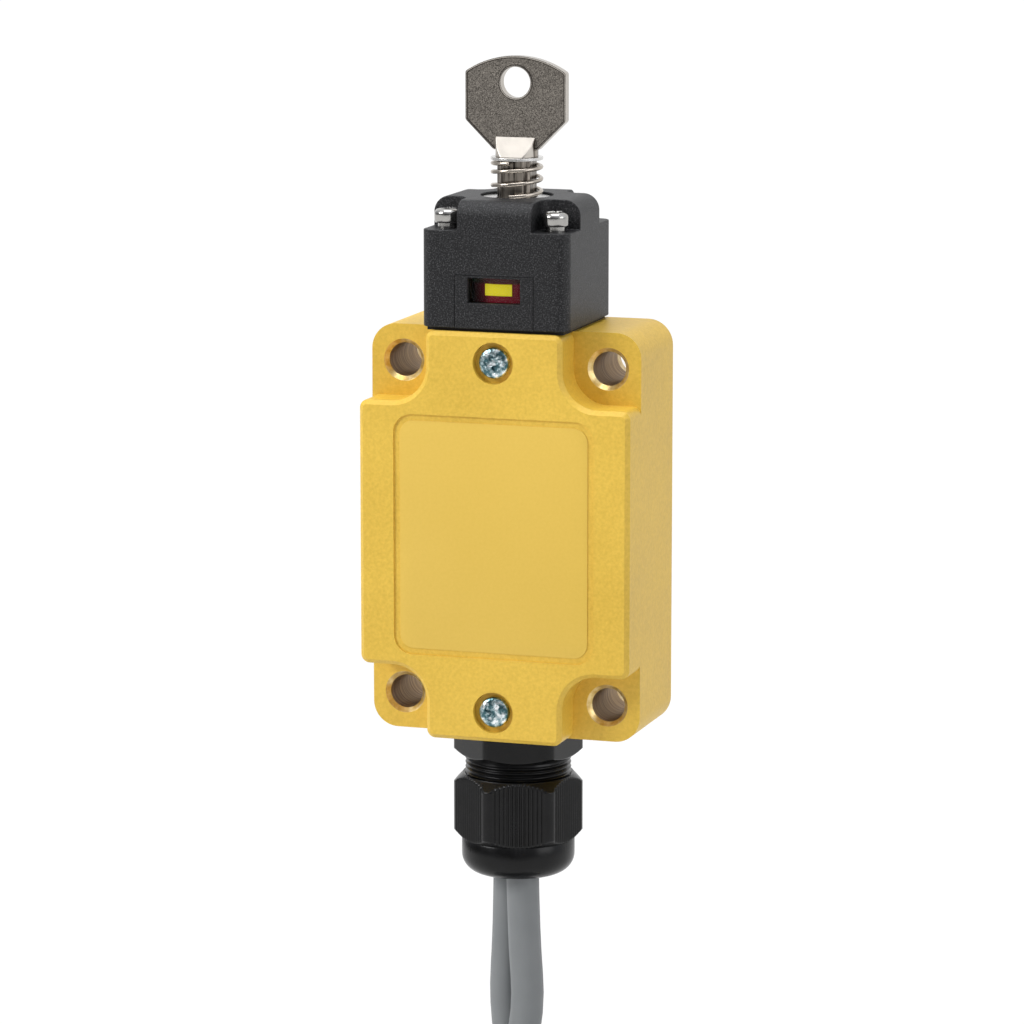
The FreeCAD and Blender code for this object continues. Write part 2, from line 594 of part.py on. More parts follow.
FLANGE_TOP = "(drum_chamber_height - fit_gap)"
FLANGE_FOOT = "(drum_chamber_height - fit_gap - flange_thickness)"
rotor_barrel = new_body("rotor_barrel", *ON_AXIS)
revolve(rotor_barrel, [("0", "barrel_foot"), ("barrel_radius", "barrel_foot"), ("barrel_radius", FLANGE_FOOT),
                       ("barrel_radius + flange_rim", FLANGE_FOOT),
                       ("barrel_radius + flange_rim", FLANGE_TOP),
                       ("barrel_radius", FLANGE_TOP), ("barrel_radius", "barrel_top"), ("0", "barrel_top")])
key_way = new_sketch(rotor_barrel, "XY_Plane")
draw_shank(key_way, "slide_gap")
pocket(rotor_barrel, key_way, "head_height", True)

indicator_drum = new_body("indicator_drum", *ON_AXIS)
revolve(indicator_drum, [
    ("barrel_radius", FLANGE_FOOT), (DRUM_RADIUS, FLANGE_FOOT), (DRUM_RADIUS, f"{FLANGE_FOOT} - drum_height"),
    (f"{DRUM_RADIUS} - drum_wall", f"{FLANGE_FOOT} - drum_height"),
    (f"{DRUM_RADIUS} - drum_wall", f"{FLANGE_FOOT} - drum_web"),
    ("barrel_radius", f"{FLANGE_FOOT} - drum_web")])

FLAG_ANGLE = f"flag_width / {DRUM_RADIUS} * 180 / pi"


def sector(name, radius):
    """A slice of a cylinder that faces the window."""
    piece = doc.addObject("Part::Cylinder", name)
    bind(piece, "Radius", radius)
    bind(piece, "Height", "flag_height")
    bind(piece, "Angle", FLAG_ANGLE)
    return piece


indicator_flag = doc.addObject("Part::Cut", "indicator_flag")
indicator_flag.Label = "indicator_flag"
indicator_flag.Base = sector("flag_outside", f"{DRUM_RADIUS} + flag_thickness")
indicator_flag.Tool = sector("flag_inside", DRUM_RADIUS)
indicator_flag.Placement.Rotation = FreeCAD.Rotation(Vector(0, 0, 1), -90 - size(FLAG_ANGLE) / 2)
bind(indicator_flag, "Placement.Base.y", KEY_Y)
FLAG_MIDDLE = "window_base + window_height / 2 + flag_rise"
bind(indicator_flag, "Placement.Base.z", f"{HEAD_BASE} + {FLAG_MIDDLE} - flag_height / 2")
LOOSE.append(indicator_flag)

spring_seat = new_body("spring_seat", *ON_AXIS)
washer = new_sketch(spring_seat, "XY_Plane", "barrel_top")
draw_circle(washer, "mouth_radius - fit_gap")
draw_shank(washer, "fit_gap")
pad(spring_seat, washer, "seat_washer")


# Key: a steel bow brazed into the slotted neck of a square bar, with its return spring.
key_shank = new_body("key_shank", *ON_AXIS)
bar = new_sketch(key_shank, "XY_Plane", "shank_foot")
draw_shank(bar)
pad(key_shank, bar, "neck_base - shank_foot")
neck = new_sketch(key_shank, "XY_Plane", "neck_base")
draw_circle(neck, "neck_radius")
pad(key_shank, neck, "neck_height")
for side in "-+":
    facet = new_sketch(key_shank, "YZ_Plane", "-2 * neck_radius")
    draw_outline(facet, [
        (f"{side}neck_flat", "neck_base"), (f"{side}bow_thickness / 2", "neck_base + neck_height"),
        (f"{side}2 * neck_radius", "neck_base + neck_height"), (f"{side}2 * neck_radius", "neck_base")])
    pocket(key_shank, facet, "4 * neck_radius", True)
slot = new_sketch(key_shank, "YZ_Plane", "-2 * neck_radius")
draw_rectangle(slot, "-bow_thickness / 2", "bow_thickness / 2", "bow_foot", "bow_top")
pocket(key_shank, slot, "4 * neck_radius", True)

key_bow = new_body("key_bow", *ON_AXIS)
blade = new_sketch(key_bow, "XZ_Plane", "-bow_thickness / 2")
half_bow = [("bow_foot_width / 2", "bow_foot"), ("bow_width / 2", "bow_side_base"),
            ("bow_width / 2", "bow_top - bow_arch")]
ARCH_RADIUS = "((bow_width / 2)^2 + bow_arch^2) / (2 * bow_arch)"
draw_outline(blade, [(f"-({x})", z) for x, z in reversed(half_bow)] + half_bow, ARCH_RADIUS)
draw_circle(blade, "ring_hole", "0", "bow_top - ring_hole_drop")
pad(key_bow, blade, "bow_thickness")
soften(key_bow, "Fillet", edges_where(key_bow.Tip.Shape, along(1)), "bow_round")

spring_clip = new_body("spring_clip", *ON_AXIS)
clip = new_sketch(spring_clip, "XY_Plane", "neck_base - clip_thickness")
draw_circle(clip, "clip_radius")
draw_shank(clip)
pad(spring_clip, clip, "clip_thickness")

end_clip = new_body("end_clip", *ON_AXIS)
clip = new_sketch(end_clip, "XY_Plane", "barrel_foot - fit_gap - clip_thickness")
draw_circle(clip, "clip_radius")
draw_shank(clip)
pad(end_clip, clip, "clip_thickness")


def coil_spring(label, radius, wire, foot, head, rise, place, sides=6, steps=12):
    """A spring between two heights above its place. rise pairs each turn with its share of the height."""
    turns, shares = zip(*rise)
    height = size(f"({head}) - ({foot}) - {wire}")
    points = []
    for number in range(math.ceil(turns[-1] * steps) + 1):
        turn = min(number / steps, turns[-1])
        after = next(index for index in range(1, len(turns)) if turns[index] >= turn)
        part = (turn - turns[after - 1]) / (turns[after] - turns[after - 1])
        share = shares[after - 1] + part * (shares[after] - shares[after - 1])
        angle = 2 * math.pi * (turn - 0.25)
        points.append(Vector(size(radius) * math.cos(angle), size(radius) * math.sin(angle), height * share))
    across = Vector(0, -1, 0)
    upright = Vector(0, 0, 1)
    reach = size(wire) / 2
    angles = [2 * math.pi * side / sides for side in range(sides)]
    section = [points[0] + across * (reach * math.cos(a)) + upright * (reach * math.sin(a)) for a in angles]
    path = Part.makePolygon(points)
    spring = doc.addObject("Part::Feature", label)
    spring.Label = label
    spring.Shape = path.makePipeShell([Part.makePolygon(section + section[:1])], True, True, 1)
    spring.Placement.Base = Vector(size(place[0]), size(place[1]), size(f"{place[2]} + ({foot}) + {wire} / 2"))
    LOOSE.append(spring)
    return spring


# The return spring is wide open below and closes up under the clip.
RETURN_RISE = [(0.0, 0.0), (1.0, 0.365), (2.0, 0.774), (3.0, 1.0)]
coil_spring("return_spring", "spring_radius", "spring_wire", "barrel_top + seat_washer",
            "neck_base - clip_thickness", RETURN_RISE, ON_AXIS)


# Plunger: the pin that the key's shank pushes down into the contact block.
plunger = new_body("plunger", "0", KEY_Y, "0")
PLUNGER_FOOT = f"({BLOCK_TOP} - plunger_drop)"
PLUNGER_TOP = f"({HEAD_BASE} + shank_foot - plunger_gap)"
revolve(plunger, [("0", PLUNGER_FOOT), ("plunger_radius", PLUNGER_FOOT),
                  ("plunger_radius", f"{PLUNGER_TOP} - 0.6"),
                  ("plunger_radius - 0.6", PLUNGER_TOP), ("0", PLUNGER_TOP)])

plunger_seal = new_body("plunger_seal", "0", KEY_Y, "body_height / 2 - seal_thickness")
ring = new_sketch(plunger_seal, "XY_Plane")
draw_circle(ring, "seal_radius")
draw_circle(ring, "plunger_radius + slide_gap")
pad(plunger_seal, ring, "seal_thickness")


# Contact block: a moulded bed with a guide for the carrier, screwed to the body's rear wall.
GUIDE_FRONT = f"({BED_FRONT} + guide_depth)"
contact_block = new_body("contact_block")
bed = new_sketch(contact_block, "XZ_Plane", "body_wall")
draw_rectangle(bed, f"-{BLOCK_SIDE}", BLOCK_SIDE, BLOCK_FOOT, BLOCK_TOP)
pad(contact_block, bed, f"{BED_FRONT} - body_wall")
guides = new_sketch(contact_block, "XZ_Plane", BED_FRONT)
draw_rectangle(guides, "-guide_width / 2", "guide_width / 2", f"{BLOCK_TOP} - guide_wall", BLOCK_TOP)
draw_rectangle(guides, "-guide_width / 2", "guide_width / 2", BLOCK_FOOT, f"{BLOCK_FOOT} + guide_wall")
pad(contact_block, guides, "guide_depth")
slot = new_sketch(contact_block, "XZ_Plane", GUIDE_FRONT)
draw_rectangle(slot, "-(plunger_radius + fit_gap)", "plunger_radius + fit_gap",
               f"{BLOCK_TOP} - guide_wall", BLOCK_TOP)
pocket(contact_block, slot, f"{GUIDE_FRONT} + {KEY_Y} + plunger_radius + fit_gap")
holes = new_sketch(contact_block, "XZ_Plane", BED_FRONT)
for x, z in BLOCK_SCREWS:
    draw_circle(holes, "block_screw", x, z)
pocket(contact_block, holes, BED_FRONT)
LEVELS = [("opened", f"({BLOCK_TOP} - opened_drop)", "+"), ("closed", f"({BLOCK_TOP} - closed_drop)", "-")]
TERMINALS = [(f"{side}_{name}", sign, level, way) for name, level, way in LEVELS
             for side, sign in (("left", "-"), ("right", "+"))]


def contact_level(level, way):
    """Foot of a fixed contact: the opened pair lies on its bridge, the closed pair clear below."""
    if way == "+":
        return f"({level} + bridge_thickness + slide_gap)"
    return f"({level} - press_travel - contact_thickness - plunger_gap)"


holes = new_sketch(contact_block, "XZ_Plane", BED_FRONT)
for name, sign, level, way in TERMINALS:
    draw_circle(holes, "terminal_screw", f"{sign}{TERMINAL_X}", contact_level(level, way))
pocket(contact_block, holes, f"{BED_FRONT} - body_wall - 1")

# Carrier: a slide with two windows, each holding a moving bridge.
contact_carrier = new_body("contact_carrier", "0", KEY_Y, "0")
CARRIER_FOOT = f"({BLOCK_TOP} - carrier_drop)"
slide = new_sketch(contact_carrier, "XY_Plane", CARRIER_FOOT)
draw_rectangle(slide, "-carrier_width / 2", "carrier_width / 2", "-carrier_depth / 2", "carrier_depth / 2")
pad(contact_carrier, slide, f"{PLUNGER_FOOT} - {CARRIER_FOOT}")
for name, level, way in LEVELS:
    window = new_sketch(contact_carrier, "YZ_Plane", "-carrier_width")
    draw_rectangle(window, "-bridge_depth / 2", "bridge_depth / 2", level, f"{level} + bridge_thickness")
    pocket(contact_carrier, window, "2 * carrier_width", True)

for name, level, way in LEVELS:
    bridge = new_body(f"{name}_bridge", "0", KEY_Y, level)
    strip = new_sketch(bridge, "XY_Plane")
    draw_rectangle(strip, f"-{BRIDGE_END}", BRIDGE_END, "-bridge_depth / 2", "bridge_depth / 2")
    pad(bridge, strip, "bridge_thickness")

# Fixed contacts: bent brass strips from the terminal screws to the bridges' ends.
join = {"contact": [], "clamp": [], "screw": []}
for name, sign, level, way in TERMINALS:
    contact = new_body(f"{name}_contact", "0", f"-{BED_FRONT}", contact_level(level, way))
    foot = new_sketch(contact, "XZ_Plane")
    draw_rectangle(foot, f"{sign}({TERMINAL_X} - terminal_width / 2)",
                   f"{sign}({TERMINAL_X} + terminal_width / 2)", "-terminal_width / 2", "terminal_width / 2")
    draw_circle(foot, "terminal_screw", f"{sign}{TERMINAL_X}")
    pad(contact, foot, "contact_thickness")
    tongue = new_sketch(contact, "XY_Plane")
    draw_rectangle(tongue, f"{sign}({BRIDGE_END} - contact_overlap)",
                   f"{sign}({TERMINAL_X} - terminal_width / 2 + 0.8 * contact_thickness)",
                   f"{BED_FRONT} + {KEY_Y} - bridge_depth / 2", "0")
    pad(contact, tongue, "contact_thickness")
    clamp = new_body(f"{name}_clamp", f"{sign}{TERMINAL_X}", f"-({BED_FRONT} + contact_thickness)",
                     contact_level(level, way))
    plate = new_sketch(clamp, "XZ_Plane")
    draw_rectangle(plate, "-clamp_half", "clamp_half", "-clamp_half", "clamp_half")
    draw_circle(plate, "terminal_screw")
    pad(clamp, plate, "clamp_thickness")
    screw = make_screw(f"{name}_screw", "terminal_head", "1.8", "terminal_screw",
                       f"{BED_FRONT} - body_wall + contact_thickness + clamp_thickness - 1.5", FRONTWARDS,
                       (f"{sign}{TERMINAL_X}", f"-({BED_FRONT} + contact_thickness + clamp_thickness)",
                        contact_level(level, way)))
    join["clamp"].append(clamp)
    join["screw"].append(screw)
join_copies("terminal_clamps", join["clamp"])
join_copies("terminal_screws", join["screw"])
join_copies("block_screws", [
    make_screw(f"block_screw_{number}", "block_screw_head", "1.8", "block_screw", f"{BED_FRONT} - 1",
               FRONTWARDS, (x, f"-{BED_FRONT}", z)) for number, (x, z) in enumerate(BLOCK_SCREWS, start=1)])
make_screw("earth_screw", "terminal_head", "1.8", "terminal_screw", "earth_boss_height", FRONTWARDS,
           (EARTH_X, "-(body_wall + earth_boss_height)", EARTH_Z))
CARRIER_RISE = [(0.0, 0.0), (0.6, 0.07), (2.9, 0.93), (3.5, 1.0)]
coil_spring("carrier_spring", "carrier_spring", "carrier_wire", f"{BLOCK_FOOT} + guide_wall", CARRIER_FOOT,
            CARRIER_RISE, ("0", KEY_Y, "0"))


# Cable gland: a moulded hexagon body with a clamping cage, a rubber insert and a domed nut.
AT_GLAND = ("0", GLAND_Y)
GLAND_TOP = "(-body_height / 2 - gland_washer)"
FLANGE_FOOT_Z = f"({GLAND_TOP} - flange_height)"
NUT_TOP = f"({FLANGE_FOOT_Z} - nut_gap)"
NUT_FOOT = f"({NUT_TOP} - nut_height)"
DOME_FOOT = f"({NUT_FOOT} - dome_height)"
INSERT_TOP = f"({FLANGE_FOOT_Z} - cage_drop)"


def hexagon(label, foot, height):
    """A hexagonal prism with turned-down corners, one flat face to the front."""
    prism = doc.addObject("Part::Prism", f"{label}_hexagon")
    prism.Polygon = 6
    bind(prism, "Circumradius", "gland_hex / sqrt(3)")
    bind(prism, "Height", height)
    bind(prism, "Placement.Base.z", foot)
    return prism


def turned(label, corners):
    """A plain turned solid from an outline of (radius, height) formulas."""
    body = new_body(label)
    revolve(body, corners)
    return body


def combine(kind, label, base, tool):
    """A boolean of two objects."""
    result = doc.addObject(f"Part::{kind}", label)
    result.Label = label
    result.Base = base
    result.Tool = tool
    return result


def finish_gland(piece):
    """Stand a gland piece on the gland's axis with a face of the hexagon turned to the front right."""
    piece.Placement.Rotation = FreeCAD.Rotation(Vector(0, 0, 1), size("gland_turn"))
    bind(piece, "Placement.Base.x", AT_GLAND[0])
    bind(piece, "Placement.Base.y", AT_GLAND[1])
    LOOSE.append(piece)


flange = combine("Common", "gland_flange", hexagon("flange", FLANGE_FOOT_Z, "flange_height"),
                 turned("flange_turned", [("0", FLANGE_FOOT_Z), ("flange_bevel_radius", FLANGE_FOOT_Z),
                                          ("gland_corner", f"{FLANGE_FOOT_Z} + flange_bevel"),
                                          ("gland_corner", GLAND_TOP), ("0", GLAND_TOP)]))
spigot = turned("gland_spigot", [
    ("gland_bore", f"{GLAND_TOP} + gland_thread_length"),
    ("gland_thread", f"{GLAND_TOP} + gland_thread_length"),
    ("gland_thread", FLANGE_FOOT_Z),
    ("nut_thread", FLANGE_FOOT_Z), ("nut_thread", f"{NUT_FOOT} + 2"),
    ("cage_radius + slide_gap", f"{NUT_FOOT} + 2"),
    ("cage_radius + slide_gap", INSERT_TOP), ("gland_bore", INSERT_TOP)])
gland_shell = combine("Fuse", "gland_shell", flange, spigot)
core = turned("gland_core", [("0", f"{FLANGE_FOOT_Z} - 1"), ("gland_bore", f"{FLANGE_FOOT_Z} - 1"),
                             ("gland_bore", f"{GLAND_TOP} + 1"), ("0", f"{GLAND_TOP} + 1")])
finish_gland(combine("Cut", "gland_body", gland_shell, core))

nut_blank = combine("Common", "nut_blank", hexagon("nut", NUT_FOOT, "nut_height"),
                    turned("nut_turned", [("0", NUT_FOOT), ("dome_radius", NUT_FOOT),
                                          ("gland_corner", f"{NUT_FOOT} + nut_foot_bevel"),
                                          ("gland_corner", f"{NUT_TOP} - nut_bevel"),
                                          ("gland_corner - nut_bevel", NUT_TOP), ("0", NUT_TOP)]))
# The dome's shoulder is a quarter round in three short cones.
dome_shoulder = [(f"dome_radius - dome_round * (1 - cos({angle}))",
                  f"{DOME_FOOT} + dome_round * (1 - sin({angle}))") for angle in (90, 60, 30, 0)]
dome = turned("nut_dome", [("0", DOME_FOOT)] + dome_shoulder + [("dome_radius", NUT_FOOT), ("0", NUT_FOOT)])
nut_core = turned("nut_core", [
    ("0", f"{NUT_TOP} + 1"), ("nut_thread + slide_gap", f"{NUT_TOP} + 1"),
    ("nut_thread + slide_gap", f"{NUT_FOOT} + 1.6"), ("cage_radius + slide_gap", f"{NUT_FOOT} + 1.6"),
    ("cage_radius + slide_gap", NUT_FOOT), ("dome_mouth", f"{DOME_FOOT} + 1.5"),
    ("dome_mouth", f"{DOME_FOOT} - 1"),
    ("0", f"{DOME_FOOT} - 1")])
finish_gland(combine("Cut", "gland_nut", combine("Fuse", "nut_shell", nut_blank, dome), nut_core))

LEADS = [(name, f"{name}_cable_x", f"({GLAND_Y} + {name}_cable_shift)") for name in ("front", "rear")]
INSERT_FOOT = f"({DOME_FOOT} + 0.8)"


def turned_here(label, corners):
    """A turned piece on the gland's axis."""
    body = new_body(label, *AT_GLAND)
    revolve(body, corners)
    return body


gland_washer = turned_here("gland_washer", [
    ("gland_thread + slide_gap", "-body_height / 2"), ("gland_washer_radius", "-body_height / 2"),
    ("gland_washer_radius", GLAND_TOP), ("gland_thread + slide_gap", GLAND_TOP)])
gland_cage = turned_here("gland_cage", [
    ("cage_radius - cage_wall", INSERT_TOP), ("cage_radius", INSERT_TOP),
    ("cage_radius", f"{NUT_FOOT} + 0.4"),
    ("cage_radius - cage_wall", f"{NUT_FOOT} + 0.4")])
gland_insert = turned_here("gland_insert", [
    ("0", INSERT_TOP), ("cage_radius - cage_wall", INSERT_TOP),
    ("cage_radius - cage_wall", f"{NUT_FOOT} + 0.4"),
    ("dome_mouth - 0.1", f"{DOME_FOOT} + 1.6"), ("dome_mouth - 0.1", INSERT_FOOT), ("0", INSERT_FOOT)])
lead_holes = new_sketch(gland_insert, "XY_Plane", INSERT_TOP)
for name, x, y in LEADS:
    draw_circle(lead_holes, "cable_radius", x, f"{y} - {GLAND_Y}")
pocket(gland_insert, lead_holes, "body_height")

# The two leads' sheaths inside the gland and the body.
for name, x, y in LEADS:
    sheath = new_body(f"{name}_lead_inside", x, y, INSERT_FOOT)
    round_sheath = new_sketch(sheath, "XY_Plane")
    draw_circle(round_sheath, "cable_radius")
    pad(sheath, round_sheath, f"cable_inside - body_height / 2 - {INSERT_FOOT}")


# Leads: each hangs from the gland and is wound into a tied coil below.
ROUTES = {
    "front": [(1.9, -17.4, -72.7), (2.2, -17.6, -87.0), (3.9, -18.6, -103.0), (0.9, -22.6, -117.5),
              (-8.2, -27.6, -130.8), (-22.05, -29.8, -140.1)],
    "rear": [(-2.75, -11.9, -72.7), (-2.9, -11.8, -87.0), (-3.8, -12.3, -103.0), (-0.1, -15.5, -118.2),
             (9.1, -19.0, -130.8), (22.05, -19.5, -140.1)],
}
COIL_SIDES = 32
SHEATH_SIDES = 12


def arc_path(points):
    """Straight runs joined by tangent arcs, each as large as its two runs allow."""
    edges, radii, start = [], [], points[0]
    for before, corner, after in zip(points, points[1:], points[2:]):
        back, ahead = before - corner, after - corner
        turn = math.pi - back.getAngle(ahead)
        reach = 0.45 * min(back.Length, ahead.Length)
        radius = reach / math.tan(turn / 2)
        enter = corner + back.normalize() * reach
        leave = corner + ahead.normalize() * reach
        middle = (back + ahead).normalize()
        top = corner + middle * (radius / math.cos(turn / 2) - radius)
        edges.append(Part.LineSegment(start, enter).toShape())
        edges.append(Part.Arc(enter, top, leave).toShape())
        radii.append(radius)
        start = leave
    edges.append(Part.LineSegment(start, points[-1]).toShape())
    return Part.Wire(edges), radii


def round_section(centre, direction, radius):
    """A sheath's outline across its run: a polygon of the same area as the round sheath."""
    turn = FreeCAD.Rotation(Vector(0, 0, 1), direction)
    step = 2 * math.pi / SHEATH_SIDES
    reach = radius * math.sqrt(step / math.sin(step))
    corners = [centre + turn.multVec(Vector(reach * math.cos(step * n), reach * math.sin(step * n), 0))
               for n in range(SHEATH_SIDES)]
    return Part.makePolygon(corners + corners[:1])


def coil_prism(label, radius):
    """A many-sided prism whose sides just touch a coil's inner or outer turn."""
    prism = doc.addObject("Part::Prism", label)
    prism.Polygon = COIL_SIDES
    bind(prism, "Circumradius", radius)
    bind(prism, "Height", "coil_width")
    return prism


for name, route in ROUTES.items():
    path, radii = arc_path([Vector(*point) for point in route])
    section = round_section(Vector(*route[0]), Vector(*route[1]) - Vector(*route[0]), size("cable_radius"))
    tube = doc.addObject("Part::Feature", f"{name}_lead")
    tube.Label = f"{name}_lead"
    tube.Shape = path.makePipeShell([section], True, False)
    LOOSE.append(tube)
    expected = Part.Face(section).Area * path.Length
    print(name, "lead: radii", [round(r) for r in radii], "length", round(path.Length, 1),
          "volume ratio", round(tube.Shape.Volume / expected, 4))
    coil = combine("Cut", f"{name}_coil", coil_prism(f"{name}_coil_outside", "coil_radius"),
                   coil_prism(f"{name}_coil_inside", "coil_opening"))
    coil.Placement.Rotation = FreeCAD.Rotation(Vector(1, 0, 0), 90)
    bind(coil, "Placement.Base.y", f"{name}_coil_y + coil_width / 2")
    bind(coil, "Placement.Base.z", "coil_z")
    LOOSE.append(coil)

# Ties: one strap round each coil, at its foot.
ties = []
for name, x, y in LEADS:
    tie = new_body(f"{name}_tie", "-tie_width / 2", f"{name}_coil_y",
                   "coil_z - (coil_radius + coil_opening) / 2", turn=((0, 1, 0), "90"))
    strap = new_sketch(tie, "XY_Plane")
    half_high, half_deep = "((coil_radius - coil_opening) / 2 + fit_gap", "(coil_width / 2 + fit_gap"
    for more in ("0)", "tie_thickness)"):
        high, deep = f"{half_high} + {more}", f"{half_deep} + {more}"
        draw_rectangle(strap, f"-{high}", high, f"-{deep}", deep)
    pad(tie, strap, "tie_width")
    ties.append(tie)
join_copies("coil_ties", ties)


# Every feature has to be sound, and every sub-part a closed solid, before anything is written.
doc.recompute()
for thing in doc.Objects:
    if "Invalid" in thing.State or "Error" in thing.State:
        raise ValueError(f"{thing.Label} failed: {thing.State}")
whole = [thing for thing in doc.Objects if thing.isDerivedFrom("PartDesign::Body")
         and not any(user.isDerivedFrom("Part::Feature") for user in thing.InList)]
sub_parts = GROUPS + LOOSE + whole
for thing in sub_parts:
    if thing.Shape.isNull() or not thing.Shape.isValid() or not thing.Shape.Solids:
        raise ValueError(f"{thing.Label} has no sound shape")
os.makedirs("parts", exist_ok=True)
for thing in sub_parts:
    thing.Shape.exportStep(f"parts/{thing.Label}.step")
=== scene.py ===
import math
import bpy
import bmesh
import numpy as np
from mathutils import Euler, Matrix


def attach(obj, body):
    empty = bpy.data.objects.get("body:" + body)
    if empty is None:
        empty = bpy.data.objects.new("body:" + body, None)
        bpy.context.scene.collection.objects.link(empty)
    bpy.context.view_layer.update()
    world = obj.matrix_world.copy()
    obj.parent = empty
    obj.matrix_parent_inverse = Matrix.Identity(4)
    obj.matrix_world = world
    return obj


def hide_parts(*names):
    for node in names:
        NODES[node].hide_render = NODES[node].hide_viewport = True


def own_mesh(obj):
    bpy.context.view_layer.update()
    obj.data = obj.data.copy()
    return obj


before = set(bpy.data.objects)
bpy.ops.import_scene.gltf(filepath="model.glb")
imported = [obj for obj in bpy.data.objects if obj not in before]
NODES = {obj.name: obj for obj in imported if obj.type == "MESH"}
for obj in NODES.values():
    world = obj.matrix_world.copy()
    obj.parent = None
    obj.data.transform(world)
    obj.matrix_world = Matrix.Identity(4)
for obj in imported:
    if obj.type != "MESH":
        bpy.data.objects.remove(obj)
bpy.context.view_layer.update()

MM = 0.001


# Setting: a pale floor that sweeps up into a backdrop, three soft boxes and the camera.
# The view is nearly level, from the front and a little to the right, through a long lens.
VIEW_AZIMUTH, VIEW_PITCH = 18.1, 10.05
CAMERA_PLACE = (0.3010, -0.9397, 0.1753)
CAMERA_LENS, CAMERA_SENSOR, CAMERA_REACH = 167.3, 36.0, 20.0
FLOOR_LEVEL = -0.24
BACKDROP_GLOW, BACKDROP_SHARE, BACKDROP_GREY = 1.06, 0.93, 0.82
ROOM_LIGHT = 0.36
MIRRORED_ROOM = (0.06, 1.1)
MIRRORED_UP_AND_BACK = (0.25, 0.45, 0.85)
# Each soft box: place in metres, pitch and azimuth in degrees, side in metres, power in watts.
SOFT_BOXES = {
    "left_box": ((-1.1, -0.9, 0.85), 34, -50, 0.7, 17.5),
    "right_box": ((1.25, -0.35, 0.45), 16, 74, 0.8, 4.0),
    "top_box": ((0.0, -0.1, 1.3), 88, 0, 0.8, 9.5),
}


def new_material(name):
    """A material and its empty node tree with an output node."""
    material = bpy.data.materials.new(name)
    material.use_nodes = True
    tree = material.node_tree
    tree.nodes.clear()
    return material, tree, tree.nodes.new("ShaderNodeOutputMaterial")


def set_place(camera_or_lamp, place, pitch, azimuth):
    """Stand a camera or lamp at a place, looking down by pitch and along azimuth, in degrees."""
    camera_or_lamp.location = place
    camera_or_lamp.rotation_euler = Euler((math.radians(90 - pitch), 0, math.radians(azimuth)))


def seen_directly(tree):
    """One for camera, glossy and transmission rays, which show the backdrop as it is."""
    path = tree.nodes.new("ShaderNodeLightPath")
    total = path.outputs["Is Camera Ray"]
    for name in ("Is Glossy Ray", "Is Transmission Ray"):
        add = tree.nodes.new("ShaderNodeMath")
        add.operation = "MAXIMUM"
        tree.links.new(total, add.inputs[0])
        tree.links.new(path.outputs[name], add.inputs[1])
        total = add.outputs[0]
    return total


def mix_shaders(tree, out, share, first, second):
    """Show the second shader by its share and the first one for the rest."""
    mix = tree.nodes.new("ShaderNodeMixShader")
    tree.links.new(share, mix.inputs[0])
    tree.links.new(first.outputs[0], mix.inputs[1])
    tree.links.new(second.outputs[0], mix.inputs[2])
    tree.links.new(mix.outputs[0], out.inputs["Surface"])


def sweep_material():
    """White where it is seen or mirrored, and a pale diffuse surface for the light it returns."""
    material, tree, out = new_material("studio_sweep")
    pale = tree.nodes.new("ShaderNodeBsdfDiffuse")
    pale.inputs["Color"].default_value = (BACKDROP_GREY, BACKDROP_GREY, BACKDROP_GREY, 1)
    glow = tree.nodes.new("ShaderNodeEmission")
    glow.inputs["Color"].default_value = (1, 1, 1, 1)
    glow.inputs["Strength"].default_value = BACKDROP_GLOW
    share = tree.nodes.new("ShaderNodeMath")
    share.operation = "MULTIPLY"
    share.inputs[1].default_value = BACKDROP_SHARE
    tree.links.new(seen_directly(tree), share.inputs[0])
    mix_shaders(tree, out, share.outputs[0], pale, glow)
    return material


def sweep_points(steps=24, width=6.0, bend=0.5, depth=1.4, front=-2.6, top=3.0):
    """Floor, quarter circle and back wall as one profile in Y and Z, drawn out along X."""
    angle = np.linspace(0, math.pi / 2, steps)
    y = np.concatenate(([front], depth + bend * np.sin(angle), [depth + bend]))
    z = np.concatenate(([0.0], bend - bend * np.cos(angle), [top])) + FLOOR_LEVEL
    x = np.array([-width / 2, width / 2])
    grid = np.empty((2, len(y), 3))
    grid[..., 0], grid[..., 1], grid[..., 2] = x[:, None], y, z
    return grid


def grid_faces(rows, columns, wrap_rows=False, wrap_columns=False):
    """Quads of a grid of points numbered row by row, closed round on itself where asked."""
    row = np.arange(rows if wrap_rows else rows - 1)
    column = np.arange(columns if wrap_columns else columns - 1)
    r, c = (axis.ravel() for axis in np.meshgrid(row, column, indexing="ij"))
    r_next, c_next = (r + 1) % rows, (c + 1) % columns
    quads = [r * columns + c, r * columns + c_next,
             r_next * columns + c_next, r_next * columns + c]
    return np.stack(quads, axis=1).tolist()


def make_object(name, points, faces, material):
    """A mesh object at the origin from points in metres and faces."""
    mesh = bpy.data.meshes.new(name)
    mesh.from_pydata(np.asarray(points).reshape(-1, 3).tolist(), [], faces)
    mesh.validate()
    mesh.materials.append(material)
    piece = bpy.data.objects.new(name, mesh)
    bpy.context.scene.collection.objects.link(piece)
    return piece


